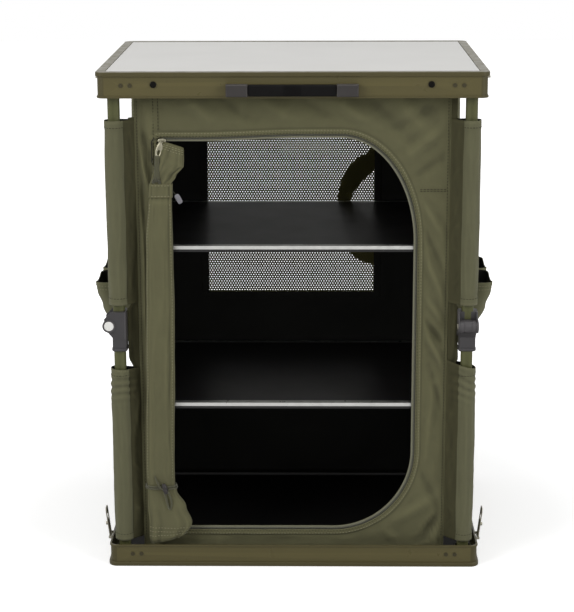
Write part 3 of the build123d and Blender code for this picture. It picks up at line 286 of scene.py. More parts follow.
def painted_finish(name, base, roughness=0.42, gloss=0.3):
    """Powder coat: fine orange peel, faint handling marks and a lighter bloom on worn edges."""
    paint = Finish(name, base, roughness, Specular_IOR_Level=gloss)
    paint.patches(14.0, 3.0, 0.4, 0.75, 0.3, 1.18)
    paint.patches(160.0, 2.0, 0.62, 0.72, 0.25, 0.7)
    paint.edges((0.53, 0.60, 0.55, 1.9))
    paint.uneven_gloss(45.0, 4.0, 0.07, 0.12)
    paint.bump(paint.cloud(750.0, 2.0), 0.00006, 0.55)
    return paint.done()


def moulded_finish(name, base, roughness=0.5, grain=420.0, gloss=0.45):
    """Moulded plastic: spark-eroded grain, scuffs and rubbed edges."""
    plastic = Finish(name, base, roughness, Specular_IOR_Level=gloss)
    plastic.patches(60.0, 4.0, 0.5, 0.8, 0.35, 1.35)
    plastic.edges((0.53, 0.62, 0.5, 2.2))
    plastic.uneven_gloss(120.0, 3.0, 0.1, 0.12)
    plastic.bump(plastic.cloud(grain, 2.0), 0.00005, 0.6)
    return plastic.done()


def laminate_finish(name, base, roughness=0.5, fleck=0.85, sheen=0.35, grain=0.25):
    """Board laminate: very fine fleck and a faint satin unevenness."""
    board = Finish(name, base, roughness, Specular_IOR_Level=sheen)
    board.patches(6.0, 2.0, 0.35, 0.7, 0.45, 0.96)
    board.patches(900.0, 2.0, 0.5, 0.7, 0.35, fleck)
    board.uneven_gloss(12.0, 2.0, 0.02, 0.04)
    board.bump(board.cloud(520.0, 2.0), 0.00001, grain)
    return board.done()


def metal_finish(name, base, roughness=0.3, streak=(300.0, 12.0)):
    """Metal with fine drawing lines, small pits and duller patches."""
    metal = Finish(name, base, roughness, 1.0)
    lines = metal.cloud(1.0, 2.0, metal.stretched(*streak))
    metal.patches(70.0, 4.0, 0.5, 0.8, 0.4, 0.72)
    metal.uneven_gloss(90.0, 4.0, 0.08, 0.16)
    metal.bump(lines, 0.00004, 0.4)
    return metal.done()


# How each finish is made: its maker, and what follows the name and the colour there.
# The first number of a cloth is its thread width as a share of the weave.
FINISHES = {
    "tray": (painted_finish, 0.34),
    "leg": (painted_finish, 0.45),
    "worktop": (laminate_finish, 0.52, 0.93, 0.22),
    "bottom board": (laminate_finish, 0.62, 1.2, 0.15, 0.0),
    "board": (laminate_finish, 0.33, 1.2, 0.5, 0.0),
    "trim": (metal_finish, 0.34, (20.0, 900.0)),
    "cloth": (woven_finish, 1.0),
    "sleeve": (woven_finish, 1.0, 0.84, 0.0004),
    "gusset": (woven_finish, 1.0, 0.88, 0.0008, 0.0),
    "lining": (woven_finish, 1.0, 0.7, 0.0003, 0.0),
    "net": (woven_finish, 0.5, 0.7, 0.0001, 0.1),
    "thread": (woven_finish, 0.5, 0.6, 0.0001, 0.2),
    "dark thread": (woven_finish, 0.5, 0.7, 0.0001, 0.0),
    "zip tape": (woven_finish, 0.8, 0.7, 0.0001, 0.2),
    "coil": (moulded_finish, 0.35),
    "zip metal": (metal_finish, 0.32),
    "webbing": (woven_finish, 1.4, 0.75, 0.0001, 0.3),
    "knuckle": (moulded_finish, 0.48),
    "button": (moulded_finish, 0.34),
    "cap": (moulded_finish, 0.5, 420.0, 0.3),
    "grip": (moulded_finish, 0.65, 300.0, 0.1),
    "tab": (painted_finish, 0.3, 0.7),
    "steel": (metal_finish, 0.3),
    "rivet": (painted_finish, 0.4),
    "dark steel": (metal_finish, 0.42),
}


def finishes():
    """All materials by their short names, made the first time."""
    pick = bpy.context.scene.cupboard_colours
    weave = bpy.context.scene.cupboard_sizes.weave
    skin = {}
    for name, (make, *values) in FINISHES.items():
        if make is woven_finish:
            values[0] *= weave
        base = getattr(pick, "board" if name == "bottom board" else name.replace(" ", "_"))
        full_name = "cupboard " + name
        skin[name] = bpy.data.materials.get(full_name) or make(full_name, base, *values)
    return skin


def dress(nodes, finish):
    """Gives CAD nodes a finish."""
    for name in nodes:
        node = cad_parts[name]
        node.data.materials.clear()
        node.data.materials.append(finish)
        for face in node.data.polygons:
            face.material_index = 0


# Shapes


class Shape:
    """Points and faces of one piece, gathered before its object is made."""

    def __init__(self):
        self.points = []
        self.faces = []
        self.kinds = []

    def grid(self, rows, closed=False, kind=0):
        """Faces between rows of points; closed joins the last column to the first."""
        start = len(self.points)
        columns = len(rows[0])
        for row in rows:
            self.points.extend(tuple(point) for point in row)
        for i in range(len(rows) - 1):
            for j in range(columns if closed else columns - 1):
                a = start + i * columns + j
                b = start + i * columns + (j + 1) % columns
                self.faces.append((a, b, b + columns, a + columns))
                self.kinds.append(kind)

    def bead(self, start, end, width, height, up, kind=0):
        """A rice-shaped grain from start to end, such as a stitch or a coil's turn."""
        start, end, up = Vector(start), Vector(end), Vector(up).normalized()
        along = end - start
        side = along.cross(up).normalized() * (width / 2)
        lift = up * height
        middle = (start + end) / 2
        first = len(self.points)
        third = along * 0.26
        ring = [middle - third + side, middle - third + lift, middle - third - side]
        ring += [middle + third + side, middle + third + lift, middle + third - side]
        self.points.extend(tuple(point) for point in (start, *ring, end))
        faces = ((0, 1, 2), (0, 2, 3), (1, 4, 5, 2), (2, 5, 6, 3), (4, 7, 5), (5, 7, 6))
        for face in faces:
            self.faces.append(tuple(first + index for index in face))
            self.kinds.append(kind)

    def tube(self, path, radii, sides=8, flat=1.0):
        """A round bar along a path, closed at both ends; radii is one number, or one for each point."""
        path = [Vector(point) for point in path]
        if not isinstance(radii, list):
            radii = [radii] * len(path)
        rows = []
        up = Vector((0.3, 0.2, 1.0))
        for i, point in enumerate(path):
            forward = (path[min(i + 1, len(path) - 1)] - path[max(i - 1, 0)]).normalized()
            side = forward.cross(up).normalized()
            over = side.cross(forward).normalized()
            wide, high = side * radii[i], over * radii[i] * flat
            rows.append([point + wide * cos(turn) + high * sin(turn) for turn in turns(sides)])
        start = len(self.points)
        last = start + (len(rows) - 1) * sides
        self.grid(rows, closed=True)
        self.faces.append(tuple(start + j for j in reversed(range(sides))))
        self.faces.append(tuple(last + j for j in range(sides)))
        self.kinds.extend((0, 0))

    def drop_loose(self):
        """Drops points that no face uses."""
        used = sorted({index for face in self.faces for index in face})
        order = {old: new for new, old in enumerate(used)}
        self.points = [self.points[index] for index in used]
        self.faces = [tuple(order[index] for index in face) for face in self.faces]
        return self

    def turn_out(self):
        """Turns every face of a round body outwards."""
        corners = [Vector(point) for point in self.points]
        volume = 0.0
        for face in self.faces:
            for a, b in zip(face[1:], face[2:]):
                volume += corners[face[0]].dot(corners[a].cross(corners[b]))
        if volume < 0:
            self.faces = [face[::-1] for face in self.faces]
        return self

    def make(self, name, *materials, smooth=True):
        mesh = bpy.data.meshes.new(name)
        mesh.from_pydata(self.points, [], self.faces)
        for material in materials:
            mesh.materials.append(material)
        mesh.polygons.foreach_set("material_index", self.kinds)
        mesh.polygons.foreach_set("use_smooth", [smooth] * len(self.faces))
        mesh.update()
        item = bpy.data.objects.new(name, mesh)
        bpy.context.scene.collection.objects.link(item)
        return item


def settle(item):
    """Applies the modifiers of a piece."""
    bpy.context.view_layer.update()
    evaluated = item.evaluated_get(bpy.context.evaluated_depsgraph_get())
    mesh = bpy.data.meshes.new_from_object(evaluated)
    item.modifiers.clear()
    item.data = mesh
    return item


def thicken(item, thickness, inner=0):
    """Thickens a sheet inwards from its outer face; inner is the lining's step in its materials."""
    solid = item.modifiers.new("thickness", "SOLIDIFY")
    solid.thickness = thickness
    solid.offset = -1.0
    solid.use_even_offset = False
    solid.material_offset = inner
    return settle(item)


def soften(item):
    """One smooth subdivision of a piece."""
    smooth = item.modifiers.new("smooth", "SUBSURF")
    smooth.levels = 1
    smooth.render_levels = 1
    smooth.boundary_smooth = "PRESERVE_CORNERS"
    return settle(item)


def turns(count):
    """Angles of points spaced evenly round a ring."""
    return [2 * pi * j / count for j in range(count)]


def ring_length(ring):
    """Length once round a closed ring of points."""
    return sum((a - b).length for a, b in zip(ring, ring[1:] + ring[:1]))


def middle_of(ring):
    return sum(ring[1:], ring[0].copy()) / len(ring)


def boxy(wave, power):
    """A sine or cosine pushed outwards, which turns a round section into a boxier one."""
    return abs(wave) ** power * (1 if wave > 0 else -1)


def softness(x, y, z, size):
    """Smooth unevenness between about -1 and 1, with bumps of a given size."""
    return noise.noise(Vector((x / size, y / size, z / size)))


def crumple(x, y, z, size):
    """Sharp creases between 0 and 1, as in cloth that has been folded, at a given spacing."""
    first = 1 - abs(softness(x, y, z, size))
    second = 1 - abs(softness(x + 7.3, y - 2.1, z + 4.4, size * 0.45))
    return 0.7 * first ** 5 + 0.3 * second ** 6


def ease(share):
    share = min(max(share, 0.0), 1.0)
    return share * share * (3 - 2 * share)


def held(inside, z, side, level):
    """0 at a wall's held side, head and foot, and 1 within; inside is the distance to its side."""
    return ease(inside / side) * ease((CLOTH_TOP - z) / level) * ease((z - CLOTH_BOTTOM) / level)


def along_table(table, height):
    """Values of a table of rows (height, values...), read at a height with smooth joins."""
    if height <= table[0][0]:
        return table[0][1:]
    for low, high in zip(table, table[1:]):
        if height <= high[0]:
            share = ease((height - low[0]) / (high[0] - low[0]))
            return tuple(a + (b - a) * share for a, b in zip(low[1:], high[1:]))
    return table[-1][1:]


def ridge(x, z, fold):
    """Height of one soft fold (start x, start z, end x, end z, width, height) at a place on a wall."""
    x0, z0, x1, z1, width, height = fold
    run_x, run_z = x1 - x0, z1 - z0
    share = ((x - x0) * run_x + (z - z0) * run_z) / (run_x * run_x + run_z * run_z)
    near = min(max(share, 0.0), 1.0)
    away = hypot(x - x0 - near * run_x, z - z0 - near * run_z) / (0.8 * width)
    return height * exp(-away * away) * (0.35 + 0.65 * sin(pi * min(max(near, 0.03), 0.97)))


def run_along(points, step):
    """Evenly spaced points on a line of points."""
    points = [Vector(point) for point in points]
    runs = [(b - a).length for a, b in zip(points, points[1:])]
    count = max(1, round(sum(runs) / step))
    spaced = []
    index = 0
    passed = 0.0
    for i in range(count + 1):
        target = sum(runs) * i / count
        while index < len(runs) - 1 and passed + runs[index] < target:
            passed += runs[index]
            index += 1
        share = (target - passed) / runs[index] if runs[index] else 0.0
        spaced.append(points[index].lerp(points[index + 1], min(max(share, 0.0), 1.0)))
    return spaced


def smooth_run(points, count):
    """Points along a smooth curve through a few given ones."""
    points = [Vector(point) for point in points]
    ends = [points[0] * 2 - points[1], *points, points[-1] * 2 - points[-2]]
    run = []
    for i in range(count):
        place = (len(points) - 1) * i / (count - 1)
        k = min(int(place), len(points) - 2)
        t = place - k
        a, b, c, d = ends[k : k + 4]
        bend = (a * 2 - b * 5 + c * 4 - d) * t * t
        run.append(((b * 2) + (c - a) * t + bend + (b * 3 - a - c * 3 + d) * t ** 3) / 2)
    return run


def stitch_line(shape, points, up, pitch, kind=0, width=0.0012, height=0.0009, gap=0.14):
    """A row of stitches proud of the cloth; up is a direction, or a function of a stitch's two ends."""
    spaced = run_along(points, pitch)
    for a, b in zip(spaced, spaced[1:]):
        inset = (b - a) * gap
        shape.bead(a + inset, b - inset, width, height, up(a, b) if callable(up) else up, kind)


def placed(item, body, slot, keep=FOLD_KEEP, axis=(0.0, 0.0, 1.0), anchor=FOLD_ANCHOR):
    """Fixes a piece to a body of the frame."""
    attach(item, body)
    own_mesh(item)
    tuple(axis)
    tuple(anchor)
    return item


# The front panel


def opening_line(step=0.005):
    """The opening's edge from its lower left corner round to the start: points and outward directions."""
    line = []

    def straight(start, end, out):
        count = max(1, ceil(hypot(end[0] - start[0], end[1] - start[1]) / step))
        for i in range(count):
            share = i / count
            x = start[0] + (end[0] - start[0]) * share
            line.append((x, start[1] + (end[1] - start[1]) * share, *out))

    def bend(middle, radii, first):
        count = max(4, ceil(max(radii) * pi / 2 / step))
        for i in range(count):
            angle = radians(first + 90 * i / count)
            out = Vector((cos(angle) / radii[0], sin(angle) / radii[1])).normalized()
            line.append((middle[0] + radii[0] * cos(angle), middle[1] + radii[1] * sin(angle), *out))

    left, right, low, high = (OPENING[key] for key in ("left", "right", "low", "high"))
    small, foot, head = LEFT_CORNER, LOW_CORNER, HIGH_CORNER
    straight((left + small[0], low), (right - foot[0], low), (0, -1))
    bend((right - foot[0], low + foot[1]), foot, 270)
    straight((right, low + foot[1]), (right, high - head[1]), (1, 0))
    bend((right - head[0], high - head[1]), head, 0)
    straight((right - head[0], high), (left + small[0], high), (0, 1))
    bend((left + small[0], high - small[1]), small, 90)
    straight((left, high - small[1]), (left, low + small[1]), (-1, 0))
    bend((left + small[0], low + small[1]), small, 180)
    return [(x, z - head_sag(x, z), out_x, out_z) for x, z, out_x, out_z in line]


def head_sag(x, z):
    """How far the door's weight draws the head of the opening down at its left."""
    return 0.0050 * ease((0.02 - x) / 0.17) * ease((z - 0.45) / 0.2)


FRONT_FOLDS = (
    (-0.240, 0.752, -0.212, 0.688, 0.008, 1.5),
    (-0.238, 0.722, -0.222, 0.664, 0.006, -1.3),
    (-0.240, 0.690, -0.222, 0.600, 0.007, 1.5),
    (-0.236, 0.636, -0.232, 0.560, 0.005, -1.0),
    (-0.239, 0.600, -0.233, 0.470, 0.005, 0.9),
    (-0.236, 0.500, -0.234, 0.330, 0.005, 1.0),
    (-0.240, 0.360, -0.236, 0.220, 0.005, -0.8),
    (-0.238, 0.260, -0.234, 0.100, 0.005, 0.9),
    (-0.170, 0.764, -0.118, 0.716, 0.016, 1.3),
    (-0.120, 0.764, -0.062, 0.720, 0.015, -1.2),
    (-0.060, 0.764, 0.004, 0.720, 0.017, 1.3),
    (0.004, 0.764, 0.060, 0.722, 0.014, -1.0),
    (0.060, 0.762, 0.122, 0.712, 0.016, 1.4),
    (0.112, 0.764, 0.180, 0.692, 0.015, -1.3),
    (0.160, 0.762, 0.210, 0.700, 0.016, 1.5),
    (0.150, 0.706, 0.238, 0.752, 0.012, -1.1),
    (0.172, 0.664, 0.238, 0.718, 0.013, 1.5),
    (0.186, 0.632, 0.238, 0.668, 0.010, -1.0),
    (0.200, 0.596, 0.236, 0.540, 0.010, 1.3),
    (0.205, 0.552, 0.238, 0.480, 0.008, -1.1),
    (0.206, 0.510, 0.236, 0.440, 0.009, 1.3),
    (0.210, 0.440, 0.238, 0.400, 0.007, 1.0),
    (0.212, 0.400, 0.238, 0.366, 0.007, -1.6),
    (0.212, 0.378, 0.238, 0.330, 0.007, 1.4),
    (0.216, 0.330, 0.236, 0.260, 0.007, -0.9),
    (0.224, 0.300, 0.212, 0.180, 0.009, 1.0),
    (0.200, 0.160, 0.236, 0.090, 0.010, -1.2),
    (0.150, 0.064, 0.236, 0.112, 0.012, 1.3),
    (0.206, 0.034, 0.238, 0.080, 0.007, -1.7),
    (0.216, 0.026, 0.240, 0.050, 0.006, 1.4),
    (0.170, 0.030, 0.150, 0.052, 0.008, 0.9),
    (-0.130, 0.046, 0.040, 0.040, 0.006, 0.6),
)


def front_height(x, z, flat=0.0):
    """How far the front panel stands out from its flat plane at a place on it."""
    size = bpy.context.scene.cupboard_sizes.fold
    folds = sum(ridge(x, z, fold) for fold in FRONT_FOLDS)
    soft = 0.55 * softness(x, 0.3, z, 0.085)
    soft = soft + 0.28 * softness(x, 1.7, z, 0.034) + 0.10 * softness(x, 2.9, z, 0.014)
    soft += 0.42 * crumple(x, 0.6, z, 0.075)
    return size * (folds + soft) * held(PANEL_EDGE - abs(x), z, 0.012, 0.02) * (1 - flat)


def on_front(x, z, proud=0.0, flat=0.0):
    """A point on the front panel's outer face, or a little proud of it."""
    return x, CLOTH_FRONT - proud - front_height(x, z, flat), z


def edge_hit(x, z, out_x, out_z):
    """Where a line from the opening meets the panel's outer edge."""
    reach = []
    for out, start, low, high in ((out_x, x, -PANEL_EDGE, PANEL_EDGE), (out_z, z, CLOTH_BOTTOM, CLOTH_TOP)):
        if abs(out) > 1e-6:
            reach.append(((high if out > 0 else low) - start) / out)
    far = min(reach)
    return x + out_x * far, z + out_z * far


BAND_INNER = 0.0062
BAND_OUTER = 0.0140
# The band's section from the opening outwards: distance from the edge, and depth behind the panel's face
BAND_PROFILE = (
    (0.0, 0.0016), (0.0034, 0.0015), (BAND_INNER + 0.0012, 0.0010), (BAND_INNER, 0.0004),
    (BAND_INNER + 0.0002, -0.0006), (BAND_INNER + 0.0012, -0.0011), (0.0100, -0.0012),
    (BAND_OUTER - 0.0010, -0.0011), (BAND_OUTER, -0.0006), (BAND_OUTER + 0.0006, 0.0),
)
PANEL_START = BAND_OUTER + 0.0014
PANEL_STEPS = 26
PANEL_HEM = 0.001
# Upright seams (place in X, foot, head) and the level seams of the right strip
PANEL_SEAMS = (
    (-0.2150, 0.050, 0.758), (-0.2075, 0.706, 0.758), (-0.2405, 0.040, 0.758), (0.2402, 0.040, 0.758),
)
LEVEL_SEAMS = (0.6105, 0.6135)
BAND_FLAT = 0.6
FRONTWARD = (0, -1, 0)


def away_from_hinge(out_x):
    """1 round the opening, and 0 beside the door's hinge, where there is no band."""
    return 1 - ease(-out_x * 1.4)


class CUPBOARD_OT_front_panel(bpy.types.Operator):
    """Front panel with its D-shaped opening, the top-stitched band round it, seams and folds"""

    bl_idname = "cupboard.front_panel"
    bl_label = "Front Panel"

    def execute(self, context):
        skin = finishes()
        line = opening_line()
        hits = [edge_hit(*entry) for entry in line]
        for corner in [(sx * PANEL_EDGE, z) for sx in (-1, 1) for z in (CLOTH_BOTTOM, CLOTH_TOP)]:
            away = [hypot(x - corner[0], z - corner[1]) for x, z in hits]
            hits[away.index(min(away))] = corner
        rows = []
        for out, depth in BAND_PROFILE:
            row = []
            for x, z, nx, nz in line:
                free = away_from_hinge(nx)
                row.append(on_front(x + nx * out, z + nz * out, -depth * free, BAND_FLAT * free))
            rows.append(row)
        widest = PANEL_EDGE - PANEL_HEM
        for i in range(PANEL_STEPS + 1):
            share = (i / PANEL_STEPS) ** 1.15
            row = []
            for (x, z, nx, nz), (far_x, far_z) in zip(line, hits):
                near_x = min(max(x + nx * PANEL_START, -widest), widest)
                near_z = z + nz * PANEL_START
                flat = BAND_FLAT * (1 - ease(share * 4)) * away_from_hinge(nx)
                place = near_x + (far_x - near_x) * share, near_z + (far_z - near_z) * share
                row.append(on_front(*place, -0.0004, flat))
            rows.append(row)
        shape = Shape()
        shape.grid(rows[::-1], closed=True)
        panel = thicken(shape.make("front_panel_cloth", skin["cloth"], skin["lining"]), SHEET, 1)
        self.seams(context, skin, line)
        placed(panel, "base", "cloth")
        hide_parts("front_panel")
        return {"FINISHED"}

    def seams(self, context, skin, line):
        """Stitching of the band and of the panel's own seams."""
        pitch = context.scene.cupboard_sizes.stitch
        shape = Shape()
        sewn = line[: next(i for i, entry in enumerate(line) if entry[2] < -0.5)]
        for out, kind in ((BAND_INNER + 0.0018, 1), (BAND_OUTER - 0.0018, 0)):
            points = [on_front(x + nx * out, z + nz * out, 0.0012, BAND_FLAT) for x, z, nx, nz in sewn]
            stitch_line(shape, points, FRONTWARD, pitch, kind)
        for x, low, high in PANEL_SEAMS:
            points = [on_front(x, low + (high - low) * i / 60, 0.0001) for i in range(61)]
            stitch_line(shape, points, FRONTWARD, pitch, 1)
        for z in LEVEL_SEAMS:
            points = [on_front(x / 1000, z, 0.0001) for x in range(197, 240, 2)]
            stitch_line(shape, points, FRONTWARD, pitch, 1)
        placed(shape.make("front_panel_stitches", skin["thread"], skin["dark thread"]), "base", "cloth")


# The tape's section: distance from the opening's edge, and depth behind its own face
TAPE_PROFILE = ((0.0002, 0.0006), (0.0, 0.0), (0.0012, -0.0003), (0.0030, 0.0002), (0.0075, 0.0003))
TAPE_DEPTH = 0.0006
COIL_OUT = 0.0044
SLIDER = (-0.2020, CLOTH_FRONT - 0.0014, 0.6905)
# Layers of the slider's plate (depth, share of its outline) and the run of its bridge
SLIDER_LAYERS = ((0.0, 0.9), (0.0002, 1.0), (0.0022, 1.0), (0.0030, 0.93), (0.0033, 0.78), (0.0034, 0.0))
SLIDER_BRIDGE = (
    (0.0046, -0.0028, 0.0010), (0.0034, -0.0050, 0.0010), (0.0004, -0.0058, 0.0),
    (-0.0030, -0.0052, -0.0008), (-0.0046, -0.0028, -0.0010),
)
PULLER_TOP = (-0.2030, -0.2082, 0.6895)
PULLER_END = (-0.2086, -0.2092, 0.6650)
WEBBING_ROUTE = (
    (-0.2084, -0.2086, 0.6680), (-0.2092, -0.2112, 0.6640), (-0.2098, -0.2118, 0.6520),
    (-0.2100, -0.2112, 0.6400), (-0.2112, -0.2106, 0.6300),
)
# Knots at the webbing's end (place in X, height, lean) and the radii along each
KNOTS = ((-0.2148, 0.6290, 0.5), (-0.2064, 0.6284, -0.4), (-0.2110, 0.6312, 0.1))
KNOT_RADII = [0.0008, 0.0022, 0.0029, 0.0026, 0.0029, 0.0022, 0.0008]


class CUPBOARD_OT_zip(bpy.types.Operator):
    """Zip round the opening: woven tape, nylon coil, slider and puller with its webbing"""

    bl_idname = "cupboard.zip"
    bl_label = "Zip"

    def execute(self, context):
        skin = finishes()
        line = [entry for entry in opening_line(0.004) if entry[0] > OPENING["left"] + 0.004]
        first = next(i for i, entry in enumerate(line) if entry[3] < -0.9)
        line = line[first:] + line[:first]
        shape = Shape()
        rows = [
            [on_front(x + nx * out, z + nz * out, -TAPE_DEPTH - depth, BAND_FLAT) for x, z, nx, nz in line]
            for out, depth in TAPE_PROFILE
        ]
        shape.grid(rows[::-1])
        tape = thicken(shape.make("zip_tape_cloth", skin["zip tape"], skin["lining"]), 0.0006, 1)
        placed(tape, "base", "zip_cloth")
        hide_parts("zip_tape")
        length = sum(hypot(b[0] - a[0], b[1] - a[1]) for a, b in zip(line, line[1:]))
        self.coil(context, skin, line)
        self.slider(skin)
        self.puller(skin)
        return {"FINISHED"}

    def coil(self, context, skin, line):
        shape = Shape()
        pitch = context.scene.cupboard_sizes.coil
        points = [
            (x + nx * COIL_OUT, CLOTH_FRONT + 0.0004 - front_height(x, z, BAND_FLAT), z + nz * COIL_OUT)
            for x, z, nx, nz in line
        ]
        spaced = run_along(points, pitch)
        for a, b in zip(spaced, spaced[1:]):
            forward = (b - a).normalized()
            side = forward.cross(Vector(FRONTWARD)) * 0.0016
            lean = forward * pitch * 0.22
            shape.bead(a - side - lean, a + side + lean, pitch * 0.8, 0.0012, FRONTWARD)
        placed(shape.make("zip_coil", skin["coil"]), "base", "zip_cloth")

    def slider(self, skin):
        """Die-cast slider: a waisted plate with a raised bridge for the puller."""
        x, y, z = SLIDER
        shape = Shape()
        outline = []
        for turn in turns(36):
            waist = 1 - 0.14 * exp(-(((cos(turn) + 0.1) / 0.3) ** 2))
            outline.append((0.0066 * cos(turn), 0.0046 * sin(turn) * waist))
        rows = []
        for depth, grow in SLIDER_LAYERS:
            rows.append([(x + px * grow, y - depth, z + pz * grow) for px, pz in outline])
        shape.grid(rows, closed=True)
        bridge = [(x + dx, y + dy, z + dz) for dx, dy, dz in SLIDER_BRIDGE]
        shape.tube(run_along(bridge, 0.0010), 0.0011, flat=0.7)
        slider = soften(shape.turn_out().make("zip_slider_body", skin["zip metal"]))
        placed(slider, "base", "zip_metal")
        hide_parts("zip_slider")

    def puller(self, skin):
        """Stamped puller with its window, and the webbing looped through it."""
        top = Vector(PULLER_TOP)
        down = Vector(PULLER_END) - top
        length = down.length
        down.normalize()
        side = Vector(FRONTWARD).cross(down).normalized()
        front = down.cross(side).normalized()
        if front.y > 0:
            front = -front

        def oval(depth, middle, along, across, lean):
            ring = []
            for turn in turns(36):
                run, width = middle - along * cos(turn), across * sin(turn) * (1 + lean * cos(turn))
                ring.append(top + down * run + side * width - front * depth)
            return ring

        shape = Shape()
        rows = []
        for depth, grow in ((0.0017, 0.94), (0.0013, 1.0), (0.0004, 1.0), (0.0, 0.93)):
            rows.append(oval(depth, length * 0.5, length * 0.52 * grow, 0.0054 * grow, -0.22))
        for depth, grow in ((0.0, 1.0), (0.0004, 0.92), (0.0013, 0.92), (0.0017, 1.0)):
            rows.append(oval(depth, length * 0.66, length * 0.20 * grow, 0.0023 * grow, -0.1))
        rows.append(rows[0])
        shape.grid(rows, closed=True)
        collar = [
            top + side * 0.0030, top + side * 0.0020 + front * 0.0012,
            top - side * 0.0020 + front * 0.0012, top - side * 0.0030,
        ]
        shape.tube(run_along(collar, 0.0010), 0.0009)
        puller = placed(shape.turn_out().make("zip_puller", skin["zip metal"]), "zip_pull", "zip_metal")
        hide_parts("zip_pull")
        strap = Shape()
        rows = []
        for k, point in enumerate(smooth_run(WEBBING_ROUTE, 26)):
            share = k / 25
            half = 0.0046 - 0.0014 * sin(pi * share) + 0.0012 * ease((share - 0.75) / 0.25)
            twist = 0.25 * sin(4 * share)
            across = (-1, -0.6, -0.2, 0.2, 0.6, 1)
            rows.append([point + Vector((half * t, 0.0009 * t * t + twist * 0.001 * t, 0)) for t in across])
        strap.grid(rows)
        webbing = thicken(strap.make("zip_pull_webbing", skin["webbing"]), 0.0012)
        placed(webbing, "zip_pull", "pull_cloth")
        knots = Shape()
        for x, z, turn in KNOTS:
            lean = Vector((sin(turn), 0, cos(turn)))
            middle = Vector((x, -0.2108, z))
            path = [middle + lean * (0.0034 * (t - 0.5) * 2) for t in (0.0, 0.1, 0.3, 0.5, 0.7, 0.9, 1.0)]
            knots.tube(path, KNOT_RADII, 12, flat=0.8)
        placed(knots.make("zip_pull_knots", skin["webbing"]), "zip_pull", "pull_cloth")


# Heights at which the shelf boards press on the side walls, and the tops of the ledges that carry them
SHELF_LEVELS = (0.517, 0.259)
LEDGE_TOPS = (0.512, 0.254)
# A ledge's section: how far it stands out from the wall, and its height from its top
LEDGE_PROFILE = ((0.0, -0.0030), (0.0085, -0.0028), (0.0098, -0.0015), (0.0085, -0.0002), (0.0, 0.0))
SIDE_STEPS = (90, 54)
CORNER_SEAM = 0.007


class CUPBOARD_OT_side_walls(bpy.types.Operator):
    """Side walls of the cloth body, with seamed corners, a lining and the shelf ledges inside, both near
    black as painted shade
    """

    bl_idname = "cupboard.side_walls"
    bl_label = "Side Walls"

    def execute(self, context):
        skin = finishes()
        pitch = context.scene.cupboard_sizes.stitch
        size = context.scene.cupboard_sizes.fold
        for side, name in ((-1, "left"), (1, "right")):
            shape = Shape()
            rows = []
            levels, columns = SIDE_STEPS
            for i in range(levels + 1):
                z = CLOTH_BOTTOM + (CLOTH_TOP - CLOTH_BOTTOM) * i / levels
                tight = sum(exp(-(((z - level) / 0.022) ** 2)) for level in SHELF_LEVELS)
                row = []
                for j in range(columns + 1):
                    y = CLOTH_FRONT + (CLOTH_REAR - CLOTH_FRONT) * j / columns
                    edge = held(CLOTH_REAR - abs(y), z, 0.02, 0.03)
                    pull = softness(side * 3.1, y, z, 0.11) * 0.9 + softness(side * 5.3, y, z, 0.045) * 0.4
                    pull += 0.55 * crumple(side * 1.3, y, z, 0.10)
                    depth = size * (pull * 0.8 - 0.6) * edge * (1 - tight) + 0.0007 * tight * edge
                    row.append((side * (CLOTH_SIDE - 0.0002 + depth), y, z))
                rows.append(row[::-1] if side < 0 else row)
            shape.grid(rows)
            wall = thicken(shape.make(name + "_side_wall", skin["cloth"], skin["lining"]), SHEET, 1)
            placed(wall, "base", "cloth")
            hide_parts("side_walls")
            seams = Shape()
            for y in (CLOTH_FRONT + CORNER_SEAM, CLOTH_REAR - CORNER_SEAM):
                points = [(side * (CLOTH_SIDE + 0.0004), y, 0.04 + 0.72 * k / 80) for k in range(81)]
                stitch_line(seams, points, (side, 0, 0), pitch)
            placed(seams.make(name + "_side_stitches", skin["thread"]), "base", "cloth")
            ledges = Shape()
            inner = side * (CLOTH_SIDE - 0.0017)
            for top in LEDGE_TOPS:
                rows = []
                for k in range(41):
                    y = -0.150 + 0.300 * k / 40
                    sag = 0.0006 * softness(side, y, top, 0.05)
                    rows.append(
                        [(inner - side * out, y, top - 0.0003 + up + sag) for out, up in LEDGE_PROFILE]
                    )
                ledges.grid(rows)
            # The ledges take the near-black inside colour: painted shade
            placed(ledges.make(name + "_shelf_ledges", skin["lining"]), "base", "cloth")
        return {"FINISHED"}


# Rolled window cover: place in X, height and half width along its bow
COVER_ROUTE = (
    (0.1560, 0.6100, 0.0120), (0.1340, 0.5900, 0.0175), (0.1060, 0.5640, 0.0175), (0.0880, 0.5300, 0.0125),
    (0.0850, 0.4880, 0.0105), (0.0960, 0.4500, 0.0130), (0.1200, 0.4260, 0.0165), (0.1540, 0.4120, 0.0140),
)
COVER_TIES = (0.14, 0.56)
COVER_STEPS = 72
COVER_MIDDLE_Y = 0.2092
COVER_HALF_DEPTH = 0.0098
COVER_END_RINGS = 8
# The window binding's section: distance from the window's edge, and height over the cloth
BINDING_PROFILE = ((-0.0030, 0.0), (-0.0026, 0.0007), (0.0, 0.0011), (0.0086, 0.0010), (0.0094, 0.0002))
BINDING_SEAMS = (0.0008, 0.0072)
REARWARD = Vector((0, 1, 0))


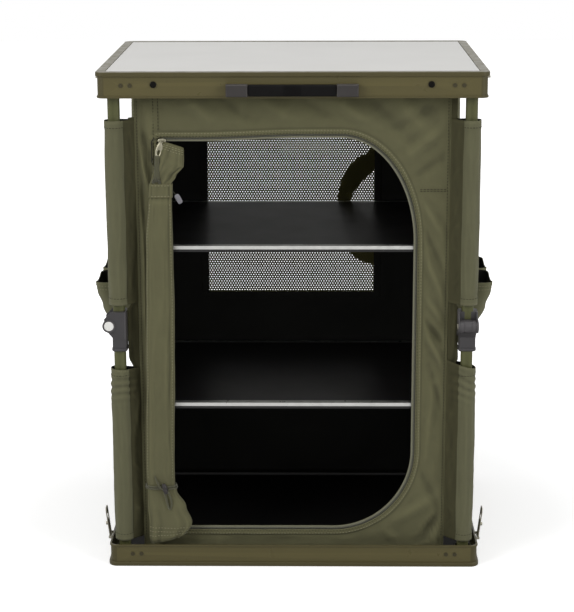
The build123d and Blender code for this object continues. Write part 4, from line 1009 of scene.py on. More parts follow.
class CUPBOARD_OT_back_wall(bpy.types.Operator):
    """Back wall with its bound window, and the rolled window cover tied beside it"""

    bl_idname = "cupboard.back_wall"
    bl_label = "Back Wall"

    def execute(self, context):
        skin = finishes()
        size = context.scene.cupboard_sizes.fold
        left, right, low, high = (WINDOW[key] for key in ("left", "right", "low", "high"))

        def spread(edges, steps):
            places = []
            for start, end, step in zip(edges, edges[1:], steps):
                count = max(1, round((end - start) / step))
                places += [start + (end - start) * i / count for i in range(count)]
            return places + [edges[-1]]

        xs = spread((-PANEL_EDGE, left, right, PANEL_EDGE), (0.008, 0.012, 0.008))
        zs = spread((CLOTH_BOTTOM, low, high, CLOTH_TOP), (0.009, 0.012, 0.009))

        def depth(x, z):
            near = max(left - x, x - right, low - z, z - high)
            soft = 0.9 * softness(x, 7.0, z, 0.1) + 0.35 * softness(x, 9.0, z, 0.04)
            soft += 0.6 * crumple(x, 8.0, z, 0.09)
            return size * 0.8 * (soft - 0.2) * held(PANEL_EDGE - abs(x), z, 0.02, 0.03) * ease(near / 0.03)

        shape = Shape()
        columns = len(xs)
        shape.points = [(x, CLOTH_REAR - 0.0004 + depth(x, z), z) for z in zs for x in xs]
        for i in range(len(zs) - 1):
            for j in range(columns - 1):
                middle_x, middle_z = (xs[j] + xs[j + 1]) / 2, (zs[i] + zs[i + 1]) / 2
                if left < middle_x < right and low < middle_z < high:
                    continue
                a = i * columns + j
                shape.faces.append((a, a + columns, a + columns + 1, a + 1))
                shape.kinds.append(0)
        wall = thicken(shape.drop_loose().make("back_wall_cloth", skin["cloth"], skin["lining"]), SHEET, 1)
        placed(wall, "base", "cloth")
        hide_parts("back_wall")
        self.binding(context, skin)
        self.cover(skin)
        return {"FINISHED"}

    def binding(self, context, skin):
        """Binding round the window on both faces of the cloth, with two rows of stitches outside."""
        left, right, low, high = (WINDOW[key] for key in ("left", "right", "low", "high"))

        def frame_ring(grow, y):
            return [
                (left - grow, y, low - grow), (right + grow, y, low - grow),
                (right + grow, y, high + grow), (left - grow, y, high + grow),
            ]

        binding = Shape()
        for kind, face, out in ((0, CLOTH_REAR + 0.0002, 1), (1, CLOTH_REAR - 0.0018, -1)):
            rows = [frame_ring(grow, face + out * lift) for grow, lift in BINDING_PROFILE]
            binding.grid(rows[::out], closed=True, kind=kind)
        for grow in BINDING_SEAMS:
            ring = frame_ring(grow, CLOTH_REAR + 0.0012)
            stitch_line(binding, ring + ring[:1], REARWARD, context.scene.cupboard_sizes.stitch, 2)
        finish = (skin["cloth"], skin["lining"], skin["thread"])
        placed(binding.make("window_binding", *finish, smooth=False), "base", "cloth")

    def cover(self, skin):
        """Window cover, rolled to the side and held by two ties."""
        shape = Shape()
        path = smooth_run([(x, COVER_MIDDLE_Y, z) for x, z, wide in COVER_ROUTE], COVER_STEPS + 1)
        widths = smooth_run([(wide, 0.0, 0.0) for x, z, wide in COVER_ROUTE], COVER_STEPS + 1)
        rows = []
        frames = []
        for i in range(COVER_STEPS + 1):
            share = i / COVER_STEPS
            along = (path[min(i + 1, COVER_STEPS)] - path[max(i - 1, 0)]).normalized()
            out = REARWARD.cross(along).normalized()
            wide = widths[i].x
            for tie in COVER_TIES:
                wide *= 1 - 0.20 * exp(-(((share - tie) / 0.022) ** 2))
            frames.append((path[i], out, along, wide))
            flat = min(wide, COVER_HALF_DEPTH) * 0.92
            row = []
            for turn in turns(40):
                wave = 1 + 0.05 * sin(3 * turn + 9 * share)
                wave += 0.05 * softness(3 * cos(turn), 3 * sin(turn), 8 * share, 1.0)
                row.append(path[i] + out * wide * wave * cos(turn) + REARWARD * flat * wave * sin(turn))
            rows.append(row)
        for end in (0, -1):
            for i in range(COVER_END_RINGS):
                ring = rows[end]
                middle = middle_of(ring)
                step = [middle + (point - middle) * (1.02 if i % 2 else 0.86) * 0.97 for point in ring]
                rows.insert(len(rows) if end else 0, step)
        shape.grid(rows, closed=True)
        cover = placed(shape.turn_out().make("window_cover", skin["cloth"]), "base", "cloth")
        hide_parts("back_wall")
        straps = Shape()
        around = 0.0
        for share in COVER_TIES:
            centre, out, along, wide = frames[round(share * COVER_STEPS)]
            rows = []
            for k in range(5):
                middle = centre + along * (k - 2) * 0.0032
                across = out * (wide + 0.0008)
                rows.append(
                    [middle + across * cos(turn) + REARWARD * 0.0090 * sin(turn) for turn in turns(28)]
                )
            around += ring_length(rows[0])
            straps.grid(rows, closed=True)
        ties = thicken(straps.turn_out().make("window_cover_ties", skin["webbing"]), 0.0008)
        placed(ties, "base", "tie_cloth")


class CUPBOARD_OT_net(bpy.types.Operator):
    """Knitted net of the rear window, with open six-sided holes"""

    bl_idname = "cupboard.net"
    bl_label = "Window Net"

    def execute(self, context):
        skin = finishes()
        sizes = context.scene.cupboard_sizes
        left, right = WINDOW["left"] - 0.004, WINDOW["right"] + 0.004
        low, high = WINDOW["low"] - 0.004, WINDOW["high"] + 0.004
        across = sizes.net
        radius = across / sqrt(3)
        hole = sizes.net_hole
        shape = Shape()
        shared = {}

        def corner(x, z):
            key = (round(x * 5e4), round(z * 5e4))
            if key not in shared:
                shared[key] = len(shape.points)
                shape.points.append((x, NET_Y + 0.0006 * softness(x, 4.0, z, 0.07), z))
            return shared[key]

        row = 0
        z = low + radius
        while z + radius < high:
            x = left + across / 2 + (across / 2 if row % 2 else 0)
            while x + across / 2 < right:
                ring = [(x + radius * sin(pi / 3 * k), z + radius * cos(pi / 3 * k)) for k in range(6)]
                outer = [corner(*point) for point in ring]
                start = len(shape.points)
                for px, pz in ring:
                    shape.points.append((x + (px - x) * hole, NET_Y + 0.0003, z + (pz - z) * hole))
                for k in range(6):
                    after = (k + 1) % 6
                    shape.faces.append((outer[k], outer[after], start + after, start + k))
                    shape.kinds.append(0)
                x += across
            z += radius * 1.5
            row += 1
        net = placed(shape.make("window_net", skin["net"]), "base", "net")
        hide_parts("mesh_window")
        return {"FINISHED"}


# Rolled door: height, middle in X, half width, half depth
ROLL_TABLE = (
    (0.0375, -0.2075, 0.0240, 0.0100),
    (0.0460, -0.2040, 0.0300, 0.0122),
    (0.0690, -0.1990, 0.0346, 0.0128),
    (0.0950, -0.2045, 0.0308, 0.0118),
    (0.1230, -0.2120, 0.0232, 0.0100),
    (0.1340, -0.2135, 0.0222, 0.0098),
    (0.1600, -0.2140, 0.0226, 0.0112),
    (0.2200, -0.2128, 0.0226, 0.0125),
    (0.3300, -0.2104, 0.0224, 0.0128),
    (0.4400, -0.2085, 0.0222, 0.0128),
    (0.5400, -0.2080, 0.0210, 0.0120),
    (0.5950, -0.2060, 0.0182, 0.0085),
    (0.6040, -0.2050, 0.0172, 0.0066),
    (0.6240, -0.2045, 0.0168, 0.0058),
    (0.6360, -0.1995, 0.0188, 0.0054),
    (0.6500, -0.1922, 0.0206, 0.0064),
    (0.6640, -0.1886, 0.0203, 0.0062),
    (0.6760, -0.1862, 0.0184, 0.0052),
    (0.6860, -0.1845, 0.0166, 0.0040),
    (0.6900, -0.1840, 0.0156, 0.0024),
)
ROLL_BACK = CLOTH_FRONT - 0.0018


def roll_point(z, turn, proud=0.0):
    """A point on the rolled door: its height before the top's slope, and the angle from its right side."""
    middle, half, depth = along_table(ROLL_TABLE, z)
    c, s = cos(turn), sin(turn)
    x = (half + proud) * boxy(c, 0.72)
    y = (depth + proud) * boxy(s, 0.72)
    front = max(0.0, s)
    lean = ease((z - 0.150) / 0.08) * ease((0.590 - z) / 0.05)
    spread = ease((0.118 - z) / 0.05)
    lobe = ease((z - 0.634) / 0.025)
    tuck = ease((z - 0.624) / 0.01) * ease((0.664 - z) / 0.012)
    crease = 0.0016 * front * lean * exp(-(((c - 0.62) / 0.10) ** 2))
    crease += 0.0011 * front * lean * exp(-(((c + 0.74) / 0.09) ** 2))
    crease += 0.0020 * spread * front * (0.5 + 0.5 * sin(7.0 * turn + 22 * z))
    crease += 0.0030 * tuck * front * exp(-(((c - 0.41 - 12 * (z - 0.631)) / 0.15) ** 2))
    crease += 0.0012 * lobe * front * exp(-(((c + 0.35 - 5 * (z - 0.65)) / 0.11) ** 2))
    gather = exp(-(((z - 0.614) / 0.030) ** 2)) + exp(-(((z - 0.128) / 0.026) ** 2))
    crease += 0.0011 * gather * (0.5 + 0.5 * sin(9 * turn)) * front
    soft = 0.0013 * softness(2.2 * c, 2.2 * s, z * 9, 1.0) + 0.0006 * softness(5 * c, 5 * s, z * 30, 1.0)
    soft += 0.0012 * crumple(1.1 * c, 1.1 * s, z * 7, 1.0)
    y_out = y - crease + soft if s > 0 else y
    slope = 0.32 * lobe * (x + half) * ease((z - 0.640) / 0.03)
    foot = 0.006 * ease((0.060 - z) / 0.02) * (x / half)
    return Vector((middle + x + soft * 0.5 * lean, ROLL_BACK - depth - max(y_out, -depth), z - slope + foot))


ROLL_POINTS = 72
ROLL_STEPS = 190
# How the roll's ends turn in: share of the end's outline, and depth as a share of the whole
ROLL_ENDS = ((0.93, 0.15), (0.78, 0.6), (0.45, 1.0), (0.10, 1.1))
# Rows of stitches on the roll's front: height, first angle, last angle, count and the way they face
ROLL_SEAMS = (
    *((level, 18, 162, 50, FRONTWARD) for level in (0.6868, 0.6838, 0.6808)),
    *((level, 14, 166, 60, (0, -1, 0.2)) for level in (0.0500, 0.0560, 0.0625)),
)
# Upright seams of the roll and level seams of its band
ROLL_SIDE_SEAMS = (36, 146)
TIE_SEAMS = (0.6058, 0.6222)
FLANK_FOOT = 0.0600
FLANK_HEIGHT = 0.6320
FLANK_WIDTH = 0.0190
HINGE_SEAMS = (0.0012, 0.0040)
BAND_FOOT = 0.6035
BAND_WIDTH = 0.0210
# The toggle cord's two turns round the roll (height, distance from it, radius), its tail and its loop
CORD_TURNS = ((0.1285, 0.0022, 0.0013), (0.1320, 0.0020, 0.0012))
CORD_TAIL = (
    (-0.2225, -0.2215, 0.1500), (-0.2185, -0.2236, 0.1400), (-0.2140, -0.2246, 0.1320),
    (-0.2075, -0.2250, 0.1270), (-0.2040, -0.2238, 0.1120), (-0.2010, -0.2242, 0.0960),
)
CORD_LOOP = (
    (-0.2062, -0.2244, 0.1300), (-0.1990, -0.2240, 0.1180), (-0.1962, -0.2240, 0.1040),
    (-0.1990, -0.2244, 0.0950), (-0.2030, -0.2246, 0.1040), (-0.2075, -0.2246, 0.1230),
)
TOGGLE_FOOT = 0.1215
TOGGLE_LENGTH = 0.0165
TOGGLE_RIBS = (4, 5, 9, 10)
TOGGLE_Y = -0.2243
TOGGLE_ENDS = ((-0.2047, TOGGLE_Y, 0.1210), (-0.2083, TOGGLE_Y, 0.1384))
TAB_CORD = ((-0.1880, -0.2100, 0.6170), (-0.1850, -0.2090, 0.6120), (-0.1812, -0.2080, 0.6080))
TAB_PLACE = (-0.1772, -0.2070, 0.6008)
# Layers of the tab: depth, and share of its outline
TAB_LAYERS = ((0.0, 0.0), (0.0, 0.86), (0.0003, 1.0), (0.0012, 1.0), (0.0015, 0.86), (0.0015, 0.0))


class CUPBOARD_OT_door_roll(bpy.types.Operator):
    """Door, rolled to the left of the opening, with its hems, creases and flared foot"""

    bl_idname = "cupboard.door_roll"
    bl_label = "Rolled Door"

    def execute(self, context):
        skin = finishes()
        pitch = context.scene.cupboard_sizes.stitch
        shape = Shape()
        low, high = ROLL_TABLE[0][0], ROLL_TABLE[-1][0]
        rows = []
        for i in range(ROLL_STEPS + 1):
            z = low + (high - low) * i / ROLL_STEPS
            rows.append([roll_point(z, turn) for turn in turns(ROLL_POINTS)])
        rows = rows[::-1]
        shape.grid(rows, closed=True)
        for row, inward in ((rows[0], -0.006), (rows[-1], 0.008 * 0.6)):
            middle = middle_of(row)
            down = Vector((0, 0, inward))
            collar = [row]
            for share, sink in ROLL_ENDS:
                collar.append([middle + (point - middle) * share + down * sink for point in row])
            shape.grid(collar if row is rows[-1] else collar[::-1], closed=True)
        self.flank(skin, pitch)
        roll = placed(shape.turn_out().make("rolled_door", skin["cloth"]), "base", "cloth")
        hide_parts("door_roll")
        threads = Shape()
        for level, first, last, count, up in ROLL_SEAMS:
            angles = [radians(first + (last - first) * k / count) for k in range(count + 1)]
            stitch_line(threads, [roll_point(level, angle, 0.0002) for angle in angles], up, pitch)
        for turn in ROLL_SIDE_SEAMS:
            points = [roll_point(0.145 + 0.450 * k / 160, radians(turn), 0.0001) for k in range(161)]
            stitch_line(threads, points, FRONTWARD, pitch)
        placed(threads.make("rolled_door_stitches", skin["thread"]), "base", "cloth")
        self.band(skin, pitch)
        self.toggle(skin)
        self.tab(skin)
        return {"FINISHED"}

    def flank(self, skin, pitch):
        """The part of the door beside its hinge seam that isn't rolled."""
        shape = Shape()
        rows = []
        for i in range(131):
            z = FLANK_FOOT + FLANK_HEIGHT * i / 130
            row = []
            for k in range(15):
                step = k / 14
                x = OPENING["left"] - 0.0035 + FLANK_WIDTH * step
                lift = 0.0007 + 0.0010 * softness(x * 40, 3.0, z * 12, 1.0) * step
                lift += 0.0016 * crumple(x * 9, 1.0, z * 9, 1.0) * step
                y = CLOTH_FRONT - front_height(x, z, BAND_FLAT) * (1 - step) - lift
                row.append((x, y, z - head_sag(x, z)))
            rows.append(row)
        shape.grid(rows)
        flank = thicken(shape.make("door_flank", skin["cloth"], skin["cloth"]), 0.0006)
        placed(flank, "base", "cloth")
        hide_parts("door_roll")
        seam = Shape()
        for out in HINGE_SEAMS:
            x = OPENING["left"] + out
            points = [on_front(x, 0.066 + 0.62 * k / 120, 0.0014, BAND_FLAT) for k in range(121)]
            stitch_line(seam, points, FRONTWARD, pitch, 0, 0.0014)
        placed(seam.make("door_hinge_seam", skin["thread"]), "base", "cloth")

    def band(self, skin, pitch):
        """Upper band round the roll, with its two rows of stitches."""
        band = Shape()
        rows = []
        for k in range(12):
            z = BAND_FOOT + BAND_WIDTH * k / 11
            rows.append([roll_point(z, turn, 0.0016) for turn in turns(64)])
        band.grid(rows[::-1], closed=True)
        upper = thicken(band.turn_out().make("door_tie_band", skin["cloth"]), 0.0010)
        placed(upper, "base", "tie_cloth")
        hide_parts("door_ties")
        around = ring_length(rows[0])
        detail = Shape()
        for z in TIE_SEAMS:
            points = [roll_point(z, radians(16 + 150 * k / 40), 0.0018) for k in range(41)]
            stitch_line(detail, points, FRONTWARD, pitch)
        placed(detail.make("door_tie_stitches", skin["thread"]), "base", "tie_cloth")

    def toggle(self, skin):
        """Lower cord round the roll, with its loop, its tail and the toggle."""
        cord = Shape()
        for z, proud, radius in CORD_TURNS:
            cord.tube([roll_point(z, 2 * pi * j / 48, proud) for j in range(49)], radius)
        cord.tube(smooth_run(CORD_TAIL, 40), 0.0012)
        cord.tube(smooth_run(CORD_LOOP, 44), 0.0014)
        lower = placed(cord.turn_out().make("door_toggle_cord", skin["webbing"]), "base", "tie_cloth")
        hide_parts("door_ties")
        toggle = Shape()
        rows = []
        for k in range(15):
            share = k / 14
            z = TOGGLE_FOOT + TOGGLE_LENGTH * share
            barrel = 0.0030 + 0.0009 * sin(pi * share) + (0.0005 if k in TOGGLE_RIBS else 0.0)
            x = -0.2066 + 0.22 * (0.1300 - z)
            rows.append(
                [(x + barrel * cos(turn), TOGGLE_Y + 0.8 * barrel * sin(turn), z) for turn in turns(18)]
            )
        foot, head = (Vector(end) for end in TOGGLE_ENDS)
        rows.insert(0, [Vector(point).lerp(foot, 0.6) for point in rows[0]])
        rows.append([Vector(point).lerp(head, 0.6) for point in rows[-1]])
        toggle.grid(rows, closed=True)
        piece = placed(toggle.turn_out().make("door_toggle", skin["cap"]), "base", "handle_cap")
        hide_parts("door_ties")

    def tab(self, skin):
        """Bare metal tab on a thin cord, hung from the upper band."""
        tab = Shape()
        tab.tube(smooth_run(TAB_CORD, 14), 0.0005, 6)
        x, y, z = TAB_PLACE
        lean = radians(-28)
        rows = []
        for depth, grow in TAB_LAYERS:
            row = []
            for turn in turns(32):
                px = 0.0041 * boxy(cos(turn), 0.5) * grow
                pz = 0.0080 * boxy(sin(turn), 0.5) * grow
                row.append(
                    (x + px * cos(lean) + pz * sin(lean), y - depth, z - px * sin(lean) + pz * cos(lean))
                )
            rows.append(row)
        tab.grid(rows, closed=True, kind=1)
        placed(tab.turn_out().make("door_tab", skin["webbing"], skin["tab"]), "base", "tie_cloth")


# Points of a sleeve's ring round the tube, and of each ply beside it
SLEEVE_ROUND = 44
SLEEVE_PLY = 11
SLEEVE_STEPS = 96
SLEEVE_RADIUS = 0.0147
SLEEVE_HEM = 0.0128
HEM_SEAM = 0.0108
CORNER_Y = 0.1970
WEB_FOOT = 0.040
WEB_HEADS = {1: 0.762, -1: 0.727}


class CUPBOARD_OT_leg_sleeves(bpy.types.Operator):
    """Cloth sleeves round the leg tubes, each sewn to the corner of the cloth body by a soft web"""

    bl_idname = "cupboard.leg_sleeves"
    bl_label = "Leg Sleeves"

    def execute(self, context):
        skin = finishes()
        pitch = context.scene.cupboard_sizes.stitch
        for index, (leg, (sx, sy)) in enumerate(LEGS.items()):
            for part, (low, high) in (("lower", LOWER_SLEEVE), ("upper", UPPER_SLEEVE)):
                self.sleeve(skin, pitch, leg, part, sx, sy, low, high, index)
            self.web(skin, leg, sx, sy, index)
        return {"FINISHED"}

    def outline(self, sx, sy, z, low, high, seed):
        """One ring of a sleeve: round the tube, then two plies running to the body's corner."""
        near_end = min(z - low, high - z)
        hem = ease((SLEEVE_HEM - near_end) / 0.0014)
        radius = SLEEVE_RADIUS + 0.0008 * ease(near_end / 0.06) + 0.0007 * hem
        tail = Vector((sx * (CLOTH_SIDE - 0.0004), sy * CORNER_Y))
        middle = Vector((sx * LEG_X, sy * LEG_Y))
        inward = (tail - middle).normalized()
        side = Vector((-inward.y, inward.x))
        spread = radians(138 if sx < 0 else 124)
        slack = ease(near_end / 0.03)
        bunch = exp(-(((high - 0.030 - z) / 0.020) ** 2)) if high < 0.4 else 0.0
        ring = []
        for k in range(SLEEVE_ROUND):
            angle = -spread + 2 * spread * k / (SLEEVE_ROUND - 1)
            away = -inward * cos(angle) + side * sin(angle)
            ripple = 0.0009 * softness(sx * 2.1 + seed, 2.0 * angle, z * 15, 1.0)
            ripple += 0.0009 * crumple(seed * 3.3 + 1.2 * cos(angle), 1.2 * sin(angle), z * 9, 1.0) * slack
            ripple += 0.0011 * bunch * sin(2 * pi * z / 0.0125 + 2.6 * sin(angle + seed))
            ring.append(middle + away * (radius + ripple))
        plies = []
        for start, turn in ((ring[-1], 1), (ring[0], -1)):
            end = tail + side * turn * 0.0007
            normal = (end - start).normalized()
            normal = Vector((-normal.y, normal.x)) * turn
            ply = []
            for k in range(1, SLEEVE_PLY + 1):
                step = k / SLEEVE_PLY
                swell = sin(pi * min(step, 0.98))
                wave = 0.0034 * softness(seed + 4.4 * turn, step * 1.3 + z * 9, z * 22 - step, 1.0)
                wave += 0.0038 * (crumple(seed, step * 0.5 + z * 6, z * 11, 1.0) - 0.35)
                ply.append(start.lerp(end, step) + normal * (0.0004 + wave * slack) * swell)
            plies.append(ply)
        return ring + plies[0] + plies[1][::-1]

    def sleeve(self, skin, pitch, leg, part, sx, sy, low, high, index):
        """One sleeve round its tube, with the two plies that run from it to the body's corner."""
        shape = Shape()
        seed = index * 1.7 + (0.6 if part == "upper" else 0.0)
        rows = []
        for i in range(SLEEVE_STEPS + 1):
            z = low + (high - low) * i / SLEEVE_STEPS
            reach = 0.010 * ease((z - high + 0.05) / 0.05) if part == "lower" else 0.0
            row = []
            for point in self.outline(sx, sy, z, low, high, seed):
                toward = min(1.0, max(0.0, (abs(point.x) - CLOTH_SIDE) / (LEG_X + 0.017 - CLOTH_SIDE)))
                rise = reach * (1 - toward) * (1 if index % 2 else -0.3)
                row.append(Vector((point.x, point.y, z + rise)))
            rows.append(row)
        shape.grid([row[::-1] for row in rows], closed=True)
        columns = len(rows[0])
        for face in range(len(shape.faces)):
            first = columns - 1 - face % columns
            if max(first, (first - 1) % columns) >= SLEEVE_ROUND:
                shape.kinds[face] = 2
        name = leg + "_" + part
        # The plies take the darker cloth: painted shade where they turn in towards the body
        made = shape.make(name + "_sleeve", skin["sleeve"], skin["lining"], skin["gusset"], skin["lining"])
        sleeve = thicken(made, 0.0010, 1)
        gather = {"axis": (1.0, 0.0, 0.0), "anchor": (sx * (LEG_X + 0.0155), 0.0, 0.0), "keep": 0.72}
        placed(sleeve, name, "cloth", **gather)
        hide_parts("leg_sleeves")
        around = ring_length(rows[20])
        threads = Shape()
        middle = Vector((sx * LEG_X, sy * LEG_Y))

        def outwards(a, b):
            return Vector((a.x - middle.x, a.y - middle.y, 0))

        for level in (low + HEM_SEAM, high - HEM_SEAM):
            points = []
            for point in self.outline(sx, sy, level, low, high, seed)[:SLEEVE_ROUND]:
                away = (point - middle).normalized() * 0.0002
                points.append((point.x + away.x, point.y + away.y, level))
            stitch_line(threads, points, outwards, pitch, 0, 0.0011, 0.0006, 0.08)
        stitches = threads.make(name + "_sleeve_stitches", skin["dark thread"])
        placed(stitches, name, "cloth", **gather)

    def web(self, skin, leg, sx, sy, index):
        """Narrow crumpled web along the body's corner, between and above the sleeves."""
        shape = Shape()
        rows = []
        high = WEB_HEADS[sx]
        for i in range(121):
            z = WEB_FOOT + (high - WEB_FOOT) * i / 120
            gap = ease((z - LOWER_SLEEVE[1] + 0.006) / 0.02) * ease((UPPER_SLEEVE[0] + 0.006 - z) / 0.02)
            wide = 0.0085 + 0.0083 * gap + 0.0012 * softness(index, 3.0, z * 12, 1.0)
            row = []
            for k in range(9):
                step = k / 8
                wave = (0.0014 + 0.0026 * gap) * softness(index * 2.0 + 5, step * 2.5, z * 24, 1.0) * step
                wave += 0.0020 * (crumple(index + 0.5, step * 0.5, z * 13, 1.0) - 0.3) * step
                out = CLOTH_SIDE + 0.0002 + wide * step
                row.append((sx * out, sy * (0.1972 + 0.0035 * step) + wave, z))
            rows.append(row[::-1] if sx * sy > 0 else row)
        shape.grid(rows)
        # The web takes the same darker cloth: painted shade along the body's corner
        web = thicken(shape.make(leg + "_web", skin["gusset"], skin["gusset"]), 0.0010)
        placed(web, "base", "cloth")
        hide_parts("leg_sleeves")


POCKET_STEPS = 44
POCKET_TILT = radians(9)
POCKET_SEAMS = (0.006, 0.012)


class CUPBOARD_OT_side_pockets(bpy.types.Operator):
    """Open pockets on both side walls, with hemmed mouths that sag a little"""

    bl_idname = "cupboard.side_pockets"
    bl_label = "Side Pockets"

    def execute(self, context):
        skin = finishes()
        pitch = context.scene.cupboard_sizes.stitch
        threads = Shape()
        low, high = POCKET_LEVELS[0][0], POCKET_LEVELS[-1][0]
        for side, side_name in ((-1, "left"), (1, "right")):

            def outwards(a, b):
                out = Vector((0, 0, 1)).cross(b - a) * -side
                return out if out.length else (side, 0, 0)

            for middle, place in zip(POCKET_MIDDLES, ("front", "rear")):
                rows = []
                for i in range(POCKET_STEPS + 1):
                    row = self.ring(side, middle, low + (high - low) * i / POCKET_STEPS, low, high)
                    rows.append(row[::-1] if side < 0 else row)
                shape = Shape()
                shape.grid(rows)
                name = side_name + "_" + place + "_pocket"
                pocket = thicken(shape.make(name, skin["sleeve"], skin["lining"]), 0.0012, 1)
                lean = (side * sin(POCKET_TILT), 0, cos(POCKET_TILT))
                placed(pocket, "base", "cloth", axis=lean, anchor=(side * 0.24, 0, 0.008))
                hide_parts("side_pockets")
                for drop in POCKET_SEAMS:
                    ring = self.ring(side, middle, high - drop, low, high)
                    points = [(p.x + side * 0.0002, p.y, p.z) for p in ring]
                    stitch_line(threads, points, outwards, pitch, 0, 0.0009, 0.0008)
        placed(threads.make("pocket_stitches", skin["thread"]), "base", "cloth")
        return {"FINISHED"}

    def ring(self, side, middle, z, low, high):
        """One level of a pocket, from the wall at its front round to the wall at its rear."""
        reach = along_table(POCKET_LEVELS, z)[0]
        wall = CLOTH_SIDE + 0.0008
        share = (z - low) / (high - low)
        half = POCKET_HALF * (0.86 + 0.14 * share)
        corner = min(0.016, reach * 0.6)
        straight = reach - corner
        points = []

        def hump(place):
            return sin(pi * min(max(place, 0), 1))

        def put(out, y):
            slack = 0.0022 * softness(side * 2 + out * 30, y * 26, z * 30, 1.0)
            belly = 0.0030 * sin(pi * share) * hump(out / max(reach, 0.001))
            sag = 0.0055 * share ** 6 * hump((y - middle + half) / (2 * half)) ** 2 * (out / reach)
            belly *= -1 if y < middle else 1
            points.append(Vector((side * (wall + out + slack * 0.4), y + belly * 0.6 + slack * 0.5, z - sag)))

        for k in range(10):
            put(straight * k / 10, middle - half)
        for k in range(7):
            angle = pi / 2 * k / 6
            put(straight + corner * sin(angle), middle - half + corner * (1 - cos(angle)))
        for k in range(1, 16):
            put(reach, middle - half + corner + (2 * half - 2 * corner) * k / 16)
        for k in range(7):
            angle = pi / 2 * (1 - k / 6)
            put(straight + corner * sin(angle), middle + half - corner * (1 - cos(angle)))
        for k in range(9, -1, -1):
            put(straight * k / 10, middle + half)
        return points


# The finish of each of the frame's own parts, and of each leg's
FRAME_PARTS = {
    "tray": ("base_frame", "top_frame"),
    "worktop": ("top_panel",),
    "board": ("upper_shelf", "lower_shelf"),
    "bottom board": ("base_panel",),
    "trim": ("upper_shelf_trims", "lower_shelf_trims"),
    "rivet": ("base_rivets", "top_rivets"),
    "dark steel": ("frame_screws", "leg_brackets_lower", "leg_brackets_upper"),
    "steel": ("latch_bases", "left_hasp", "right_hasp", "latch_catches"),
    "cap": ("handle_end_caps",),
    "grip": ("handle_strap",),
}
LEG_PARTS = {
    "leg": ("lower_tube", "upper_tube"),
    "knuckle": ("lower_knuckle", "upper_knuckle"),
    "button": ("lock_button",),
    "steel": ("knuckle_pin", "lock_spring"),
}


class CUPBOARD_OT_frame_finishes(bpy.types.Operator):
    """Paint, laminate, metal and plastic finishes of the frame's own parts"""

    bl_idname = "cupboard.frame_finishes"
    bl_label = "Frame Finishes"

    def execute(self, context):
        skin = finishes()
        for finish, nodes in FRAME_PARTS.items():
            dress(nodes, skin[finish])
        for finish, parts in LEG_PARTS.items():
            dress([leg + "_" + part for leg in LEGS for part in parts], skin[finish])
        return {"FINISHED"}


# Lamps of the studio: name, place, what it points at, width and power
LAMPS = (
    ("left_lamp", (-2.3, -1.9, 1.9), (0, 0, 0.42), 1.6, 46),
    ("right_lamp", (2.4, -1.7, 1.6), (0, 0, 0.42), 1.6, 38),
    ("top_lamp", (0.0, 0.1, 3.0), (0, 0, 0.8), 2.2, 24),
)
WORLD_LIGHT = 0.24
# The photograph's camera: its place, and its right, up and forward directions
CAMERA_PLACE = (0.034396, -2.923633, 1.121823)
CAMERA_RIGHT = (0.999878, 0.015241, -0.003452)
CAMERA_UP = (-0.000420, 0.247044, 0.969004)
CAMERA_FORWARD = Vector((-0.015621, 0.968884, -0.247020))
CAMERA_LENS = 104.71
CAMERA_SENSOR = 36.0


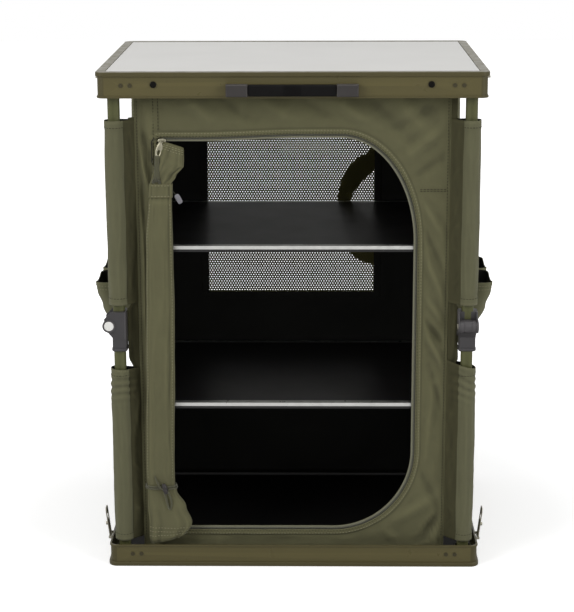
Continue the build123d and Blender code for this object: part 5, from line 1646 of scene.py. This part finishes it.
class CUPBOARD_OT_stage(bpy.types.Operator):
    """Pale floor, soft studio lamps and the camera"""

    bl_idname = "cupboard.stage"
    bl_label = "Stage"

    def execute(self, context):
        scene = context.scene
        scene.view_settings.view_transform = "Standard"
        self.floor()
        self.world(scene)
        for lamp in LAMPS:
            self.lamp(*lamp)
        self.camera(scene)
        return {"FINISHED"}

    def floor(self):
        shape = Shape()
        shape.grid([[(-8.0 + 1.0 * j, -4.0 + 0.5 * i, 0.0) for j in range(17)] for i in range(25)])
        floor = shape.make("floor", self.backdrop())

    def backdrop(self):
        """Near-white floor that the camera sees as white paper, with the object's shadow on it."""
        paper = Finish("studio paper", (0.86, 0.86, 0.86, 1.0), 0.9, Specular_IOR_Level=0.1)
        paper.bump(paper.cloud(60.0, 3.0), 0.0002, 0.2)
        paper.done()
        glow = paper.add("ShaderNodeEmission", Color=(1.0, 1.0, 1.0, 1.0))
        rays = paper.add("ShaderNodeLightPath").outputs["Is Camera Ray"]
        away = paper.add("ShaderNodeVectorMath", {"operation": "LENGTH"})
        paper.feed(away.inputs[0], paper.place)
        level = paper.between(away.outputs["Value"], 0.45, 1.4, 0.5, 1.0)
        paper.feed(glow.inputs["Strength"], paper.maths("MULTIPLY", rays, level))
        both = paper.add("ShaderNodeAddShader")
        paper.feed(both.inputs[0], paper.shader.outputs[0])
        paper.feed(both.inputs[1], glow.outputs[0])
        paper.feed(paper.tree.nodes["Material Output"].inputs["Surface"], both.outputs[0])
        return paper.material

    def world(self, scene):
        world = bpy.data.worlds.new("studio")
        world.use_nodes = True
        tree = world.node_tree
        back = tree.nodes["Background"]
        back.inputs["Color"].default_value = (1.0, 1.0, 1.0, 1.0)
        rays = tree.nodes.new("ShaderNodeLightPath")
        seen = tree.nodes.new("ShaderNodeMath")
        seen.operation = "MAXIMUM"
        tree.links.new(rays.outputs["Is Camera Ray"], seen.inputs[0])
        tree.links.new(rays.outputs["Is Glossy Ray"], seen.inputs[1])
        level = tree.nodes.new("ShaderNodeMapRange")
        level.inputs["To Min"].default_value = WORLD_LIGHT
        level.inputs["To Max"].default_value = 1.0
        tree.links.new(seen.outputs[0], level.inputs["Value"])
        tree.links.new(level.outputs["Result"], back.inputs["Strength"])
        scene.world = world

    def lamp(self, name, place, target, size, power):
        light = bpy.data.lights.new(name, "AREA")
        light.shape = "SQUARE"
        light.size = size
        light.energy = power
        item = bpy.data.objects.new(name, light)
        bpy.context.scene.collection.objects.link(item)
        item.location = place
        item.rotation_euler = (Vector(target) - Vector(place)).to_track_quat("-Z", "Y").to_euler()

    def camera(self, scene):
        lens = bpy.data.cameras.new("photo_camera")
        lens.sensor_width = CAMERA_SENSOR
        lens.lens = CAMERA_LENS
        item = bpy.data.objects.new("photo_camera", lens)
        scene.collection.objects.link(item)
        turn = Matrix((CAMERA_RIGHT, CAMERA_UP, -CAMERA_FORWARD)).transposed().to_4x4()
        item.matrix_world = Matrix.Translation(CAMERA_PLACE) @ turn
        scene.camera = item


OPERATORS = (
    CUPBOARD_OT_stage,
    CUPBOARD_OT_frame_finishes,
    CUPBOARD_OT_front_panel,
    CUPBOARD_OT_zip,
    CUPBOARD_OT_side_walls,
    CUPBOARD_OT_back_wall,
    CUPBOARD_OT_net,
    CUPBOARD_OT_door_roll,
    CUPBOARD_OT_leg_sleeves,
    CUPBOARD_OT_side_pockets,
)


class CUPBOARD_PT_panel(bpy.types.Panel):
    """Lists the cupboard's pieces and its colours and sizes"""

    bl_idname = "CUPBOARD_PT_panel"
    bl_label = "Folding Cupboard"
    bl_space_type = "VIEW_3D"
    bl_region_type = "UI"
    bl_category = "Cupboard"

    def draw(self, context):
        layout = self.layout
        for operator in OPERATORS:
            layout.operator(operator.bl_idname)
        for group in (context.scene.cupboard_colours, context.scene.cupboard_sizes):
            column = layout.column(align=True)
            for key in group.__annotations__:
                column.prop(group, key)


CLASSES = (CupboardColours, CupboardSizes, *OPERATORS, CUPBOARD_PT_panel)


def register():
    for item in CLASSES:
        bpy.utils.register_class(item)
    bpy.types.Scene.cupboard_colours = bpy.props.PointerProperty(type=CupboardColours)
    bpy.types.Scene.cupboard_sizes = bpy.props.PointerProperty(type=CupboardSizes)


def unregister():
    del bpy.types.Scene.cupboard_sizes
    del bpy.types.Scene.cupboard_colours
    for item in reversed(CLASSES):
        bpy.utils.unregister_class(item)


def main():
    register()
    for operator in OPERATORS:
        group, name = operator.bl_idname.split(".")
        getattr(getattr(bpy.ops, group), name)()


if __name__ == "__main__":
    main()
